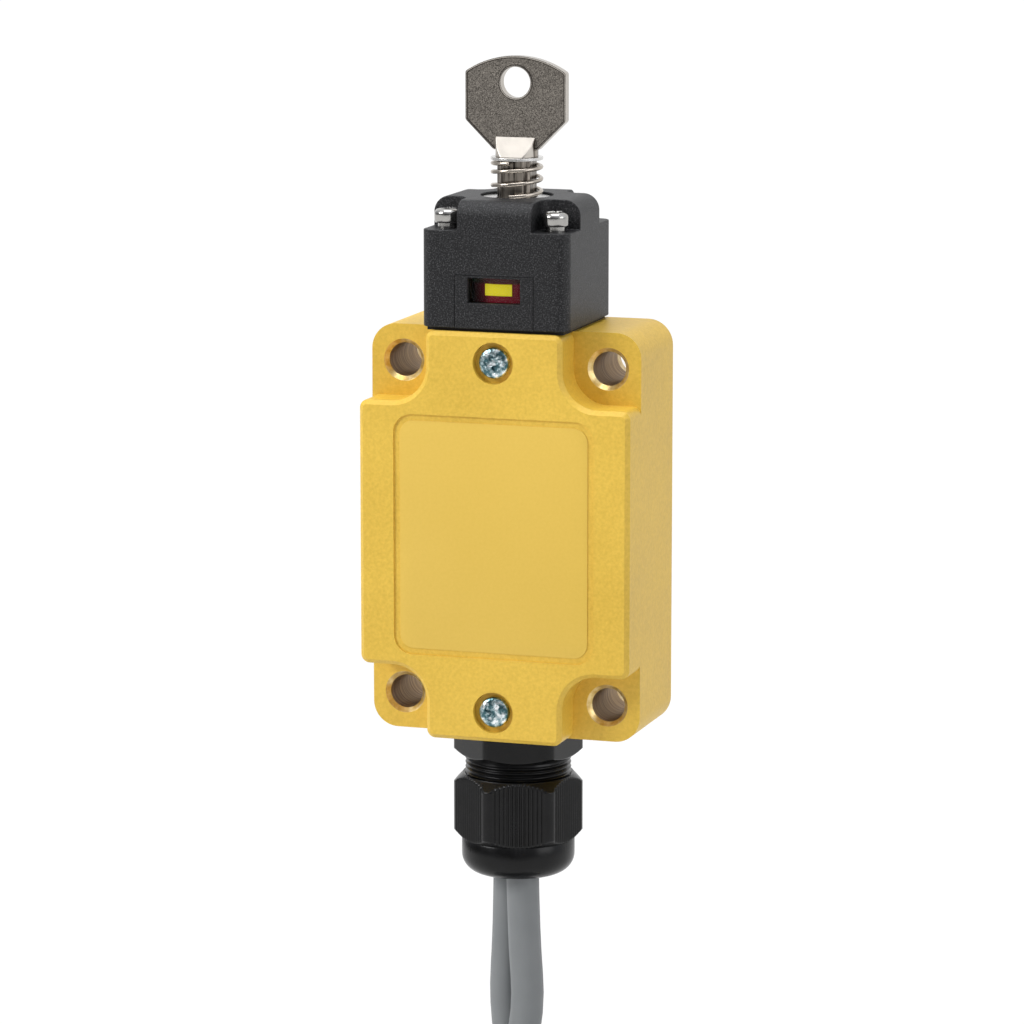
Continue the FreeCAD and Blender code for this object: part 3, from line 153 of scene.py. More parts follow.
def room_world():
    """An even pale room for soft light. Mirrored, it is dark in front and bright overhead."""
    room = bpy.data.worlds.new("room")
    room.use_nodes = True
    tree = room.node_tree
    light = tree.nodes["Background"]
    light.inputs["Color"].default_value = (0.93, 0.95, 1.0, 1)
    direction = tree.nodes.new("ShaderNodeTexCoord")
    along = tree.nodes.new("ShaderNodeVectorMath")
    along.operation = "DOT_PRODUCT"
    along.inputs[1].default_value = MIRRORED_UP_AND_BACK
    mirrored = tree.nodes.new("ShaderNodeMapRange")
    mirrored.inputs["From Min"].default_value = -0.35
    mirrored.inputs["From Max"].default_value = 0.75
    mirrored.inputs["To Min"].default_value = MIRRORED_ROOM[0]
    mirrored.inputs["To Max"].default_value = MIRRORED_ROOM[1]
    path = tree.nodes.new("ShaderNodeLightPath")
    choose = tree.nodes.new("ShaderNodeMix")
    choose.inputs["A"].default_value = ROOM_LIGHT
    tree.links.new(direction.outputs["Generated"], along.inputs[0])
    tree.links.new(along.outputs["Value"], mirrored.inputs["Value"])
    tree.links.new(path.outputs["Is Glossy Ray"], choose.inputs["Factor"])
    tree.links.new(mirrored.outputs["Result"], choose.inputs["B"])
    tree.links.new(choose.outputs["Result"], light.inputs["Strength"])
    return room


sweep_grid = sweep_points()
sweep = make_object("studio_sweep", sweep_grid, grid_faces(*sweep_grid.shape[:2]),
                    sweep_material())
sweep.data.shade_smooth()

camera = bpy.data.objects.new("view_camera", bpy.data.cameras.new("view_camera"))
camera.data.lens = CAMERA_LENS
camera.data.sensor_width = CAMERA_SENSOR
camera.data.clip_end = CAMERA_REACH
set_place(camera, CAMERA_PLACE, VIEW_PITCH, VIEW_AZIMUTH)
bpy.context.scene.collection.objects.link(camera)
bpy.context.scene.camera = camera
bpy.context.scene.view_settings.view_transform = "Standard"
bpy.context.scene.world = room_world()

for box_name, (place, pitch, azimuth, span, power) in SOFT_BOXES.items():
    lamp = bpy.data.lights.new(box_name, "AREA")
    lamp.size = span
    lamp.energy = power
    holder = bpy.data.objects.new(box_name, lamp)
    set_place(holder, place, pitch, azimuth)
    bpy.context.scene.collection.objects.link(holder)


# Leads: two round grey cables, each 2 m, from the gland down into a tied coil. The sheath is
# soft matt plastic with a faint lengthwise drag from the extruder, and the gland grips it.
LEAD_DIAMETER = 7.0
LEADS = {
    "front": {
        "route": [(1.9, -17.4, -72.7), (2.2, -17.6, -87.0), (3.9, -18.6, -103.0),
                  (0.9, -22.6, -117.5), (-8.2, -27.6, -130.8)],
        "coil_y": -36.9, "first_layer": 1, "way": 1,
    },
    "rear": {
        "route": [(-2.75, -11.9, -72.7), (-2.9, -11.8, -87.0), (-3.8, -12.3, -103.0),
                  (-0.1, -15.5, -118.2), (9.1, -19.0, -130.8)],
        "coil_y": -12.4, "first_layer": -1, "way": -1,
    },
}
COIL_RADIUS, COIL_HEIGHT, COIL_PITCH = 37.0, -178.3, 7.1
COIL_TURNS, COIL_START = 8.36, 120
# Each step: turn, place in the turn in degrees, then the change in radius and in layer.
COIL_STEPS = [(1, 280, -1, 0), (2, 280, -1, 0), (3, 230, 0, 1), (4, 180, 1, 0), (5, 180, 1, 0),
              (6, 130, 0, 1), (7, 80, -1, 0), (8, 80, -1, 0)]
STEP_SPAN = 40


def coil_points(lead, per_turn=24):
    """A circle in the XZ plane whose radius and depth step by one pitch at set places.

    Each step goes over its span of degrees as s s (3 - 2 s), where s runs from 0 to 1.
    """
    angle = np.arange(0, COIL_TURNS * 360 + 1e-6, 360 / per_turn)
    ring, layer = np.ones_like(angle), -np.ones_like(angle)
    for turn, place, out, over in COIL_STEPS:
        middle = (turn - 1) * 360 + place
        share = np.clip((angle - middle + STEP_SPAN / 2) / STEP_SPAN, 0, 1)
        share = share * share * (3 - 2 * share)
        ring += out * share
        layer += over * share
    radius = COIL_RADIUS + COIL_PITCH * ring
    around = np.radians(COIL_START + angle)
    x = lead["way"] * radius * np.cos(around)
    z = COIL_HEIGHT + radius * np.sin(around)
    y = lead["coil_y"] - lead["first_layer"] * COIL_PITCH * layer
    return np.stack([x, y, z], axis=1)


def object_coordinates(tree, scale=(1, 1, 1)):
    """Object coordinates through a Mapping node that scales them."""
    place = tree.nodes.new("ShaderNodeTexCoord")
    mapping = tree.nodes.new("ShaderNodeMapping")
    mapping.inputs["Scale"].default_value = scale
    tree.links.new(place.outputs["Object"], mapping.inputs["Vector"])
    return mapping.outputs["Vector"]


def noise(tree, vector, scale, detail=3.0, roughness=0.5):
    """A noise texture's value; scale is in repeats per metre."""
    node = tree.nodes.new("ShaderNodeTexNoise")
    node.inputs["Scale"].default_value = scale
    node.inputs["Detail"].default_value = detail
    node.inputs["Roughness"].default_value = roughness
    tree.links.new(vector, node.inputs["Vector"])
    return node.outputs["Fac"]


def ramp(tree, value, stops):
    """A colour ramp from (position, colour) stops."""
    node = tree.nodes.new("ShaderNodeValToRGB")
    elements = node.color_ramp.elements
    while len(elements) < len(stops):
        elements.new(0.5)
    for element, (position, colour) in zip(elements, stops):
        element.position = position
        element.color = (*colour, 1)
    tree.links.new(value, node.inputs["Fac"])
    return node.outputs["Color"]


def level(tree, value, low, high, source=(0.0, 1.0)):
    """Spread a value between low and high as it goes through the source range."""
    node = tree.nodes.new("ShaderNodeMapRange")
    node.inputs["From Min"].default_value = source[0]
    node.inputs["From Max"].default_value = source[1]
    node.inputs["To Min"].default_value = low
    node.inputs["To Max"].default_value = high
    tree.links.new(value, node.inputs["Value"])
    return node.outputs["Result"]


def bump(tree, height, distance, strength=1.0, under=None):
    """A bump of a given depth in metres, over another bump where one is given."""
    node = tree.nodes.new("ShaderNodeBump")
    node.inputs["Distance"].default_value = distance
    node.inputs["Strength"].default_value = strength
    tree.links.new(height, node.inputs["Height"])
    if under is not None:
        tree.links.new(under, node.inputs["Normal"])
    return node.outputs["Normal"]


def surface(tree, out, **settings):
    """A Principled shader with its sockets set by name, each to a value or a link."""
    shader = tree.nodes.new("ShaderNodeBsdfPrincipled")
    for name, value in settings.items():
        socket = shader.inputs[name.replace("_", " ")]
        if isinstance(value, bpy.types.NodeSocket):
            tree.links.new(value, socket)
        else:
            socket.default_value = value
    tree.links.new(shader.outputs["BSDF"], out.inputs["Surface"])


def sheath_material():
    """Grey plastic sheath: soft mottling, and fine drag lines that run along the lead."""
    material, tree, out = new_material("lead_sheath")
    drag = noise(tree, object_coordinates(tree, (1.0, 1.0, 0.06)), 2600, 2)
    cloud = noise(tree, object_coordinates(tree), 70, 3)
    colour = ramp(tree, cloud, [(0.3, (0.198, 0.208, 0.211)), (0.7, (0.232, 0.241, 0.245))])
    surface(tree, out, Base_Color=colour, Roughness=level(tree, cloud, 0.42, 0.56),
            Specular_IOR_Level=0.45, Normal=bump(tree, drag, 0.00006, 0.5))
    return material


SHEATH = sheath_material()


def lead_curve(name, lead):
    """A round tube on a quadratic NURBS line through the route's and the coil's control points."""
    points = np.concatenate([np.array(lead["route"]), coil_points(lead)]) * MM
    curve = bpy.data.curves.new(name, "CURVE")
    curve.dimensions = "3D"
    spline = curve.splines.new("NURBS")
    spline.points.add(len(points) - 1)
    flat = np.concatenate([points, np.ones((len(points), 1))], axis=1)
    spline.points.foreach_set("co", flat.ravel())
    spline.order_u = 3
    spline.use_endpoint_u = True
    spline.resolution_u = 4
    curve.bevel_depth = LEAD_DIAMETER / 2 * MM
    curve.bevel_resolution = 5
    curve.use_fill_caps = True
    curve.materials.append(SHEATH)
    piece = bpy.data.objects.new(name, curve)
    bpy.context.scene.collection.objects.link(piece)
    return piece


CABLES = {}
for side, lead in LEADS.items():
    cable = CABLES[side] = lead_curve(f"{side}_cable", lead)
    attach(cable, "housing")
    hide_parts(f"{side}_lead", f"{side}_coil")


# Body casting: a zinc die casting with four lugs, open at the front for the wiring.
# It is coated in a thick yellow powder that softens every edge; the mounting holes are
# drilled through the coat afterwards, so their bores show bare, slightly browned metal.
HOLE_X, HOLE_Z, HOLE_RADIUS = 22.0, 35.0, 3.5
BORE_REACH, RIM_REACH = 0.1, 1.2
BORE_SLOT, RIM_SLOT = 1, 2
COAT_SPECKLE = 0.55
EDGE_ANGLE = 28
FACET_ANGLE = 1.0
WELD_DISTANCE = 2e-6


def cad_copy(name, node, material, edge=0.3, body="housing"):
    """A copy of a CAD node's mesh with its facets joined into faces and its edges rounded."""
    mesh = NODES[node].data.copy()
    mesh.name = name
    work = bmesh.new()
    work.from_mesh(mesh)
    work.transform(NODES[node].matrix_world)
    bmesh.ops.remove_doubles(work, verts=work.verts, dist=WELD_DISTANCE)
    bmesh.ops.dissolve_limit(work, angle_limit=math.radians(FACET_ANGLE),
                             verts=work.verts, edges=work.edges)
    bmesh.ops.connect_verts_concave(work, faces=work.faces)
    bmesh.ops.recalc_face_normals(work, faces=work.faces)
    work.to_mesh(mesh)
    work.free()
    mesh.materials.clear()
    for one in (material if isinstance(material, list) else [material]):
        mesh.materials.append(one)
    mesh.shade_smooth()
    mesh.set_sharp_from_angle(angle=math.radians(EDGE_ANGLE))
    piece = bpy.data.objects.new(name, mesh)
    bpy.context.scene.collection.objects.link(piece)
    if edge:
        rounding = piece.modifiers.new("rounded_edges", "BEVEL")
        rounding.width = edge * MM
        rounding.segments = 3
        rounding.limit_method = "ANGLE"
        rounding.angle_limit = math.radians(EDGE_ANGLE)
        rounding.miter_outer = "MITER_ARC"
    weights = piece.modifiers.new("flat_faces", "WEIGHTED_NORMAL")
    weights.keep_sharp = True
    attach(piece, body)
    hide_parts(node)
    return piece


def powder_coat(name, deep, light, grain):
    """Yellow powder coat: orange peel, a faint drift of tone and a soft sheen."""
    material, tree, out = new_material(name)
    place = object_coordinates(tree)
    cloud = noise(tree, place, 38, 4)
    peel = noise(tree, place, 1500, 3, 0.6)
    both = tree.nodes.new("ShaderNodeMix")
    both.inputs["Factor"].default_value = COAT_SPECKLE
    tree.links.new(cloud, both.inputs["A"])
    tree.links.new(peel, both.inputs["B"])
    colour = ramp(tree, both.outputs["Result"], [(0.32, deep), (0.68, light)])
    surface(tree, out, Base_Color=colour, Roughness=level(tree, cloud, 0.40, 0.50),
            Specular_IOR_Level=0.42, Normal=bump(tree, peel, grain, 0.6))
    return material


def bare_bore():
    """Drilled metal with rings left by the drill and a brown tint of age."""
    material, tree, out = new_material("bare_bore")
    rings = noise(tree, object_coordinates(tree, (0.05, 1.0, 0.05)), 1800, 3)
    colour = ramp(tree, rings, [(0.3, (0.20, 0.115, 0.05)), (0.7, (0.52, 0.35, 0.17))])
    surface(tree, out, Base_Color=colour, Metallic=0.75, Roughness=0.48,
            Normal=bump(tree, rings, 0.00008, 0.7))
    return material


def rim_painted_sheen():
    """The countersunk rim of a hole: coated like the casting, with a paler metallic gold painted on
    for its sheen.
    """
    material, tree, out = new_material("rim_painted_sheen")
    rim_glint = noise(tree, object_coordinates(tree), 700, 3)
    # Painted reflection: the rim's coat is drawn paler and metallic so that it shines gold.
    colour = ramp(tree, rim_glint, [(0.35, (0.62, 0.40, 0.10)), (0.7, (0.90, 0.72, 0.36))])
    surface(tree, out, Base_Color=colour, Metallic=0.55, Roughness=0.3)
    return material


def faces_near(mesh, places, radius):
    """Which faces have every corner within a radius of one line along Y, in mm."""
    points = np.empty(len(mesh.vertices) * 3)
    mesh.vertices.foreach_get("co", points)
    across = points.reshape(-1, 3)[:, [0, 2]] / MM
    found = np.zeros(len(mesh.polygons), bool)
    for place in places:
        near = np.hypot(*(across - np.array(place)).T) < radius
        found |= np.array([near[list(face.vertices)].all() for face in mesh.polygons])
    return found


YELLOW = powder_coat("yellow_coat", (0.68, 0.43, 0.046), (0.86, 0.567, 0.077), 0.00012)
casting = cad_copy("casting", "housing", [YELLOW, bare_bore(), rim_painted_sheen()], edge=0.45)
holes = [(x, z) for x in (-HOLE_X, HOLE_X) for z in (-HOLE_Z, HOLE_Z)]
rims = faces_near(casting.data, holes, HOLE_RADIUS + RIM_REACH)
bores = faces_near(casting.data, holes, HOLE_RADIUS + BORE_REACH)
casting.data.polygons.foreach_set("material_index",
                                  np.where(bores, BORE_SLOT, np.where(rims, RIM_SLOT, 0)))


# Front cover: a second casting of the same coat, screwed over the wiring space. A thin label of
# plain plastic film is stuck into its shallow round-cornered recess, with a gap round it.
LABEL_HALF = (20.2, 23.8)
LABEL_FACE, LABEL_THICKNESS = -31.28, 0.18
LABEL_CORNER, LABEL_EDGE = 3.0, 0.08


def rounded_plate(half_width, half_height, corner, back, front, round_over, steps=8):
    """A plate with round corners, from rings of one rounded rectangle drawn in at its front edge.

    Each ring is the corner centres plus (corner - inset) times a unit circle, in the XZ plane.
    """
    quarter = np.repeat(np.arange(4), steps)
    circle = np.radians((np.arange(4 * steps) - quarter) * 90 / (steps - 1))
    unit = np.stack([np.cos(circle), np.sin(circle)], axis=1)
    side = np.repeat(np.array([(1, 1), (-1, 1), (-1, -1), (1, -1)]), steps, axis=0)
    centre = side * (np.array([half_width, half_height]) - corner)
    bends = np.linspace(0, math.pi / 2, 4)
    insets = np.concatenate(([0.0], round_over * (1 - np.cos(bends))))
    depths = np.concatenate(([back], front + round_over * (1 - np.sin(bends))))
    rings = [np.insert(centre + unit * (corner - inset), 1, depth, axis=1)
             for inset, depth in zip(insets, depths)]
    count = 4 * steps
    faces = grid_faces(len(rings), count, wrap_columns=True)
    faces += [list(range(count))[::-1], list(range((len(rings) - 1) * count, len(rings) * count))]
    return np.concatenate(rings), faces


cover = cad_copy("cover", "front_cover", YELLOW, edge=0.5)
LABEL = powder_coat("label_film", (0.75, 0.50, 0.076), (0.79, 0.53, 0.090), 0.000008)
points, faces = rounded_plate(*LABEL_HALF, LABEL_CORNER, LABEL_FACE + LABEL_THICKNESS,
                              LABEL_FACE, LABEL_EDGE)
label = make_object("blank_label", points * MM, faces, LABEL)
label.data.shade_smooth()
label.data.set_sharp_from_angle(angle=math.radians(40))
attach(label, "housing")


# Screws: two zinc-plated pan heads hold the front cover, four polished ones the key head. They
# are cold-headed steel with a cross recess; the head screws stand on a narrower neck.
# Each place: x, y, z in mm and the turn of the recess in degrees.
LID_PLACES = [(0, -29.7, 36.3, 20), (0, -29.7, -36.3, 62)]
LID_SIZES = dict(head=3.15, height=1.7, shank=2.0, reach=4.6)
CAP_PLACES = [(-11.5, -25.75, 63.1, 12), (11.5, -25.75, 63.1, 40),
              (-11.5, -5.25, 63.1, 75), (11.5, -5.25, 63.1, 30)]
CAP_SIZES = dict(head=2.75, height=2.95, shank=1.5, reach=27.1, neck=1.1)
NECK_STEP = 0.5
# Shares of the head's radius: half length and half width of a bar of the cross. Share of its
# height: the depth of the cross. In mm: the slope of its walls.
CROSS_LENGTH, CROSS_WIDTH, CROSS_DEPTH, CROSS_SLOPE = 0.58, 0.15, 0.42, 0.2


def plated(name, colour, roughness, grain=0.00002):
    """Plated or polished steel with fine scratches and a slow change of sheen."""
    material, tree, out = new_material(name)
    place = object_coordinates(tree)
    cloud = noise(tree, place, 300, 4)
    fine = noise(tree, place, 5200, 2)
    tone = ramp(tree, cloud, [(0.3, tuple(0.86 * c for c in colour)), (0.7, colour)])
    surface(tree, out, Base_Color=tone, Metallic=1.0, Normal=bump(tree, fine, grain, 0.5),
            Roughness=level(tree, cloud, roughness - 0.06, roughness + 0.1))
    return material


def zinc_painted_glints():
    """Bright zinc plating seen small: crystal patches, with the light and dark they mirror painted
    into their colour.
    """
    material, tree, out = new_material("zinc_painted_glints")
    place = object_coordinates(tree)
    cells = tree.nodes.new("ShaderNodeTexVoronoi")
    cells.inputs["Scale"].default_value = 1500
    tree.links.new(place, cells.inputs["Vector"])
    patch = noise(tree, place, 800, 3, 0.6)
    # Painted reflections: the patches run from dark teal to near white.
    tone = ramp(tree, patch, [(0.42, (0.07, 0.15, 0.17)), (0.53, (0.42, 0.54, 0.56)),
                              (0.62, (0.95, 0.98, 0.99))])
    surface(tree, out, Base_Color=tone, Metallic=0.9, Roughness=0.28,
            Normal=bump(tree, cells.outputs["Distance"], 0.00012, 0.6))
    return material


def pan_screw(head, height, shank, reach, neck=0.0, around=128):
    """A pan head with a cross recess on its shank, pointing its head along +Z, in mm.

    Height over the head: h (0.6 + 0.4 sqrt(1 - (r / R)^4)) less the recess, which is cut where a
    point lies inside one of two crossed bars.
    """
    # Rings close together over the cross, then closer and closer towards the rim.
    inner = np.linspace(0.03, 0.66, 30)
    outer = np.sin(np.linspace(0.74, math.pi / 2, 14))
    radius = np.concatenate([inner, outer]) * head
    angle = np.arange(around) * 2 * math.pi / around
    x, y = radius[:, None] * np.cos(angle), radius[:, None] * np.sin(angle)
    arm, half = CROSS_LENGTH * head, CROSS_WIDTH * head
    outside = np.minimum(np.maximum(abs(x) - half, abs(y) - arm),
                         np.maximum(abs(y) - half, abs(x) - arm))
    recess = CROSS_DEPTH * height * np.clip(0.5 - outside / CROSS_SLOPE, 0, 1)
    dome = height * (0.6 + 0.4 * np.sqrt(np.clip(1 - (radius / head) ** 4, 0, 1)))
    rows = [np.stack([x, y, neck + dome[:, None] - recess], axis=2)]
    for r, z in ((head, neck + 0.14 * height), (head - 0.2, neck), (shank + NECK_STEP, neck),
                 (shank + NECK_STEP, 0.0), (shank, 0.0), (shank, -reach)):
        rows.append(np.stack([r * np.cos(angle), r * np.sin(angle), np.full(around, z)],
                             axis=1)[None])
    points = np.concatenate(rows)
    count = len(points)
    faces = grid_faces(count, around, wrap_columns=True)
    faces += [list(range(around)), list(range((count - 1) * around, count * around))]
    return points.reshape(-1, 3), faces


def turn_outward(mesh, angle):
    """Point the normals of a closed mesh outwards and shade it smooth up to its edges."""
    work = bmesh.new()
    work.from_mesh(mesh)
    bmesh.ops.recalc_face_normals(work, faces=work.faces)
    work.to_mesh(mesh)
    work.free()
    mesh.shade_smooth()
    mesh.set_sharp_from_angle(angle=math.radians(angle))


def set_screws(name, node, finish, places, upright, sizes):
    """One object of several like screws; upright ones point up, the others forward."""
    points, faces = pan_screw(**sizes)
    lean = Matrix() if upright else Matrix.Rotation(math.radians(90), 4, "X")
    every_point, every_face = [], []
    for number, (x, y, z, turn) in enumerate(places):
        about = Matrix.Rotation(math.radians(turn), 4, "Z")
        stand = np.array(Matrix.Translation((x, y, z)) @ lean @ about)
        every_point.append(points @ stand[:3, :3].T + stand[:3, 3])
        every_face += [[index + number * len(points) for index in face] for face in faces]
    piece = make_object(name, np.concatenate(every_point) * MM, every_face, finish)
    turn_outward(piece.data, 35)
    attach(piece, "housing")
    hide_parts(node)


set_screws("lid_screws", "cover_screws", zinc_painted_glints(), LID_PLACES, False, LID_SIZES)
POLISHED = plated("polished_head", (0.44, 0.43, 0.41), 0.15)
set_screws("cap_screws", "head_screws", POLISHED, CAP_PLACES, True, CAP_SIZES)


# Head: a block of glass-filled nylon, moulded with four screw pockets and a mouth for the key.
# It is dull black with pale fibre grain; a small frame of the same nylon clips into its front.
def filled_nylon():
    """Black moulding whose glass filling shows as short pale flecks and a pitted skin."""
    material, tree, out = new_material("head_nylon")
    place = object_coordinates(tree)
    grain = noise(tree, place, 3600, 3, 0.65)
    pits = noise(tree, place, 6200, 2)
    colour = ramp(tree, grain, [(0.50, (0.006, 0.006, 0.007)), (0.70, (0.078, 0.078, 0.081))])
    skin = bump(tree, pits, 0.00006, 0.6)
    surface(tree, out, Base_Color=colour, Roughness=level(tree, grain, 0.38, 0.56),
            Specular_IOR_Level=0.32, Normal=bump(tree, grain, 0.00012, 0.6, skin))
    return material


NYLON = filled_nylon()
head = cad_copy("head_shell", "head_housing", NYLON, edge=0.27)
insert = cad_copy("window_frame", "indicator_frame", NYLON, edge=0.06)


# Indicator: a red plastic drum pressed on under the rotor, with a yellow flag let into it.
# They show through a clear pane that is held behind the frame; the deep window's shade on them is
# painted into the drum's colour.
# Painted shade on the drum: brown over the shade height above the flag's top, in mm, and darker
# towards the left between the two shade side X values, in metres.
FLAG_TOP, SHADE_HEIGHT = 51.9, 0.5
SHADE_SIDE = (-0.0058, -0.0020)
# Sockets of a Mix node that mixes colours.
MIX_A, MIX_B, MIX_RESULT = 6, 7, 2


def plain_plastic(name, colour, roughness=0.4, **settings):
    """Smooth moulded plastic with a faint unevenness."""
    material, tree, out = new_material(name)
    cloud = noise(tree, object_coordinates(tree), 260, 3)
    tone = ramp(tree, cloud, [(0.3, tuple(0.9 * c for c in colour)), (0.7, colour)])
    surface(tree, out, Base_Color=tone, Specular_IOR_Level=0.45,
            Roughness=level(tree, cloud, roughness - 0.05, roughness + 0.07), **settings)
    return material


def drum_painted_shade_material():
    """Crimson plastic with painted shade: it turns brown above the flag and black at the left side.
    """
    material, tree, out = new_material("drum_red")
    place = tree.nodes.new("ShaderNodeTexCoord")
    parts = tree.nodes.new("ShaderNodeSeparateXYZ")
    tree.links.new(place.outputs["Object"], parts.inputs["Vector"])
    across = level(tree, parts.outputs["X"], 0, 1, SHADE_SIDE)
    upward = level(tree, parts.outputs["Z"], 0, 1, (FLAG_TOP * MM, (FLAG_TOP + SHADE_HEIGHT) * MM))
    # Painted shade: near black at the drum's left and crimson at its right. Above the flag a
    # painted shadow turns it brown.
    side = ramp(tree, across, [(0.0, (0.020, 0.010, 0.010)), (1.0, (0.36, 0.010, 0.038))])
    shadow_above_flag = ramp(tree, upward, [(0.0, (1.0, 1.0, 1.0)), (1.0, (0.34, 2.6, 0.9))])
    mix = tree.nodes.new("ShaderNodeMix")
    mix.data_type = "RGBA"
    mix.blend_type = "MULTIPLY"
    mix.inputs["Factor"].default_value = 1.0
    tree.links.new(side, mix.inputs[MIX_A])
    tree.links.new(shadow_above_flag, mix.inputs[MIX_B])
    surface(tree, out, Base_Color=mix.outputs[MIX_RESULT], Roughness=0.45, Specular_IOR_Level=0.4)
    return material


def clear_pane():
    """Thin clear plastic: light goes straight through, and a little of the room is mirrored."""
    material, tree, out = new_material("clear_pane")
    through = tree.nodes.new("ShaderNodeBsdfTransparent")
    through.inputs["Color"].default_value = (0.93, 0.93, 0.91, 1)
    mirror = tree.nodes.new("ShaderNodeBsdfGlossy")
    mirror.inputs["Roughness"].default_value = 0.04
    facing = tree.nodes.new("ShaderNodeFresnel")
    facing.inputs["IOR"].default_value = 1.16
    mix_shaders(tree, out, facing.outputs[0], through, mirror)
    return material


drum = cad_copy("drum", "indicator_drum", drum_painted_shade_material(), edge=0.1, body="rotor")
# The flag glows faintly though it is no lamp: painted light that makes it look brighter inside the
# shaded window.
glowing_flag_plastic = plain_plastic("flag_yellow", (0.95, 0.82, 0.015),
                              Emission_Color=(1.0, 0.85, 0.02, 1), Emission_Strength=0.32)
flag = cad_copy("flag", "indicator_flag", glowing_flag_plastic, edge=0.05, body="rotor")
pane = cad_copy("pane", "indicator_lens", clear_pane(), edge=0)


# Rotor and seat: a bright turned steel barrel that the key's bar slides in, kept in the head by
# its flange, and a thin stamped washer on it that the return spring stands on.
BRIGHT = plated("bright_steel", (0.72, 0.71, 0.69), 0.22)
for name, node, edge in (("barrel", "rotor_barrel", 0.2), ("seat", "spring_seat", 0.08)):
    turned = cad_copy(name, node, BRIGHT, edge=edge, body="rotor")


# Key: a square steel bar with turned corners, a forked neck and a flat bow brazed into it.
# The bar is ground bright, the bow is stamped with a fine line round its edge and left darker.
NECK_FOOT, NECK_SLOPE = 76.4, 0.4
BOW_EDGE = 0.45
PRESSED_LINE = dict(margin=0.28, groove=0.2, depth=0.09)
FLAT, NEARLY_FLAT = 0.999, 0.99
BOW_RIM_SLOT, BOW_GROOVE_SLOT = 1, 2


def bar_painted_reflection():
    """Ground steel with streaks that run along the bar; its warm tone is a painted reflection of
    the lock's brass.
    """
    material, tree, out = new_material("bar_painted_reflection")
    streak = noise(tree, object_coordinates(tree, (1.0, 1.0, 0.08)), 1500, 3)
    # Painted reflection: the bar's tone is warm, as if it mirrored brass.
    tone = ramp(tree, streak, [(0.38, (0.05, 0.042, 0.035)), (0.64, (0.36, 0.32, 0.275))])
    surface(tree, out, Base_Color=tone, Metallic=1.0, Roughness=level(tree, streak, 0.2, 0.36),
            Normal=bump(tree, streak, 0.00003, 0.6))
    return material


def stamped_steel():
    """Darkened steel with a fine speckle, as it comes from the blanking press and the barrel."""
    material, tree, out = new_material("stamped_steel")
    place = object_coordinates(tree)
    speckle = noise(tree, place, 4400, 3, 0.7)
    broad = noise(tree, place, 110, 3)
    tone = ramp(tree, speckle, [(0.38, (0.072, 0.064, 0.055)), (0.62, (0.29, 0.262, 0.228))])
    surface(tree, out, Base_Color=tone, Metallic=0.8, Roughness=level(tree, broad, 0.36, 0.52),
            Normal=bump(tree, speckle, 0.00010, 0.8))
    return material


def press_border(mesh, margin, groove, depth):
    """Round the outline of a flat piece and set a fine groove into both its faces, in mm.

    The groove runs a margin inside the rounding; what lies outside it takes the rim's material, and
    the groove takes a near-black one that paints the shade in it.
    """
    work = bmesh.new()
    work.from_mesh(mesh)
    work.faces.ensure_lookup_table()
    outline = [edge for edge in work.edges if len(edge.link_faces) == 2
               and sum(abs(face.normal.y) > NEARLY_FLAT for face in edge.link_faces) == 1]
    bmesh.ops.bevel(work, geom=outline, offset=BOW_EDGE * MM, segments=4, profile=0.5,
                    affect="EDGES", clamp_overlap=True)
    work.normal_update()
    flats = [face for face in work.faces if abs(face.normal.y) > FLAT]
    for face in work.faces:
        face.material_index = 0 if abs(face.normal.y) > FLAT else BOW_RIM_SLOT
    rim = bmesh.ops.inset_region(work, faces=flats, thickness=margin * MM, use_even_offset=True)
    for face in rim["faces"]:
        face.material_index = BOW_RIM_SLOT
    wall = bmesh.ops.inset_region(work, faces=flats, thickness=groove * MM, depth=-depth * MM,
                                  use_even_offset=True)
    for face in wall["faces"]:
        face.material_index = BOW_GROOVE_SLOT
    work.to_mesh(mesh)
    work.free()


neck_facet = plated("neck_facet", (0.60, 0.56, 0.505), 0.42)
shank = cad_copy("shank", "key_shank", [bar_painted_reflection(), neck_facet], edge=0.15, body="key")
facets = [face.center.z / MM > NECK_FOOT and abs(face.normal.y) > NECK_SLOPE
          for face in shank.data.polygons]
shank.data.polygons.foreach_set("material_index", np.array(facets, int))
bow_rim = plated("bow_rim", (0.50, 0.46, 0.41), 0.24)
# Near-black groove walls: painted shade in the fine pressed line round the bow.
groove_painted_shade = plated("groove_painted_shade", (0.06, 0.052, 0.045), 0.5)
bow = cad_copy("bow", "key_bow", [stamped_steel(), bow_rim, groove_painted_shade], edge=0, body="key")
press_border(bow.data, **PRESSED_LINE)
bow.data.shade_smooth()
bow.data.set_sharp_from_angle(angle=math.radians(EDGE_ANGLE))
for name, node in (("neck_clip", "spring_clip"), ("foot_clip", "end_clip")):
    clip = cad_copy(name, node, BRIGHT, edge=0.08, body="key")


# Springs: bright hard-drawn wire wound into open coils. The larger one pushes the key up out of
# the head; the smaller one returns the contact carrier.
KEY_AXIS_Y = -15.5
SPRINGS = {
    "return_spring": dict(radius=5.0, wire=0.85, foot=68.7, head=76.4,
                          rise=[(0, 0), (1, 0.365), (2, 0.774), (3, 1)]),
    "carrier_spring": dict(radius=2.4, wire=0.5, foot=-8.0, head=-2.5,
                           rise=[(0, 0), (0.6, 0.07), (2.9, 0.93), (3.5, 1)]),
}
SPRING_MOVES = {"return_spring": ("rotor", "key_press"),
                "carrier_spring": ("housing", "plunger_slide")}


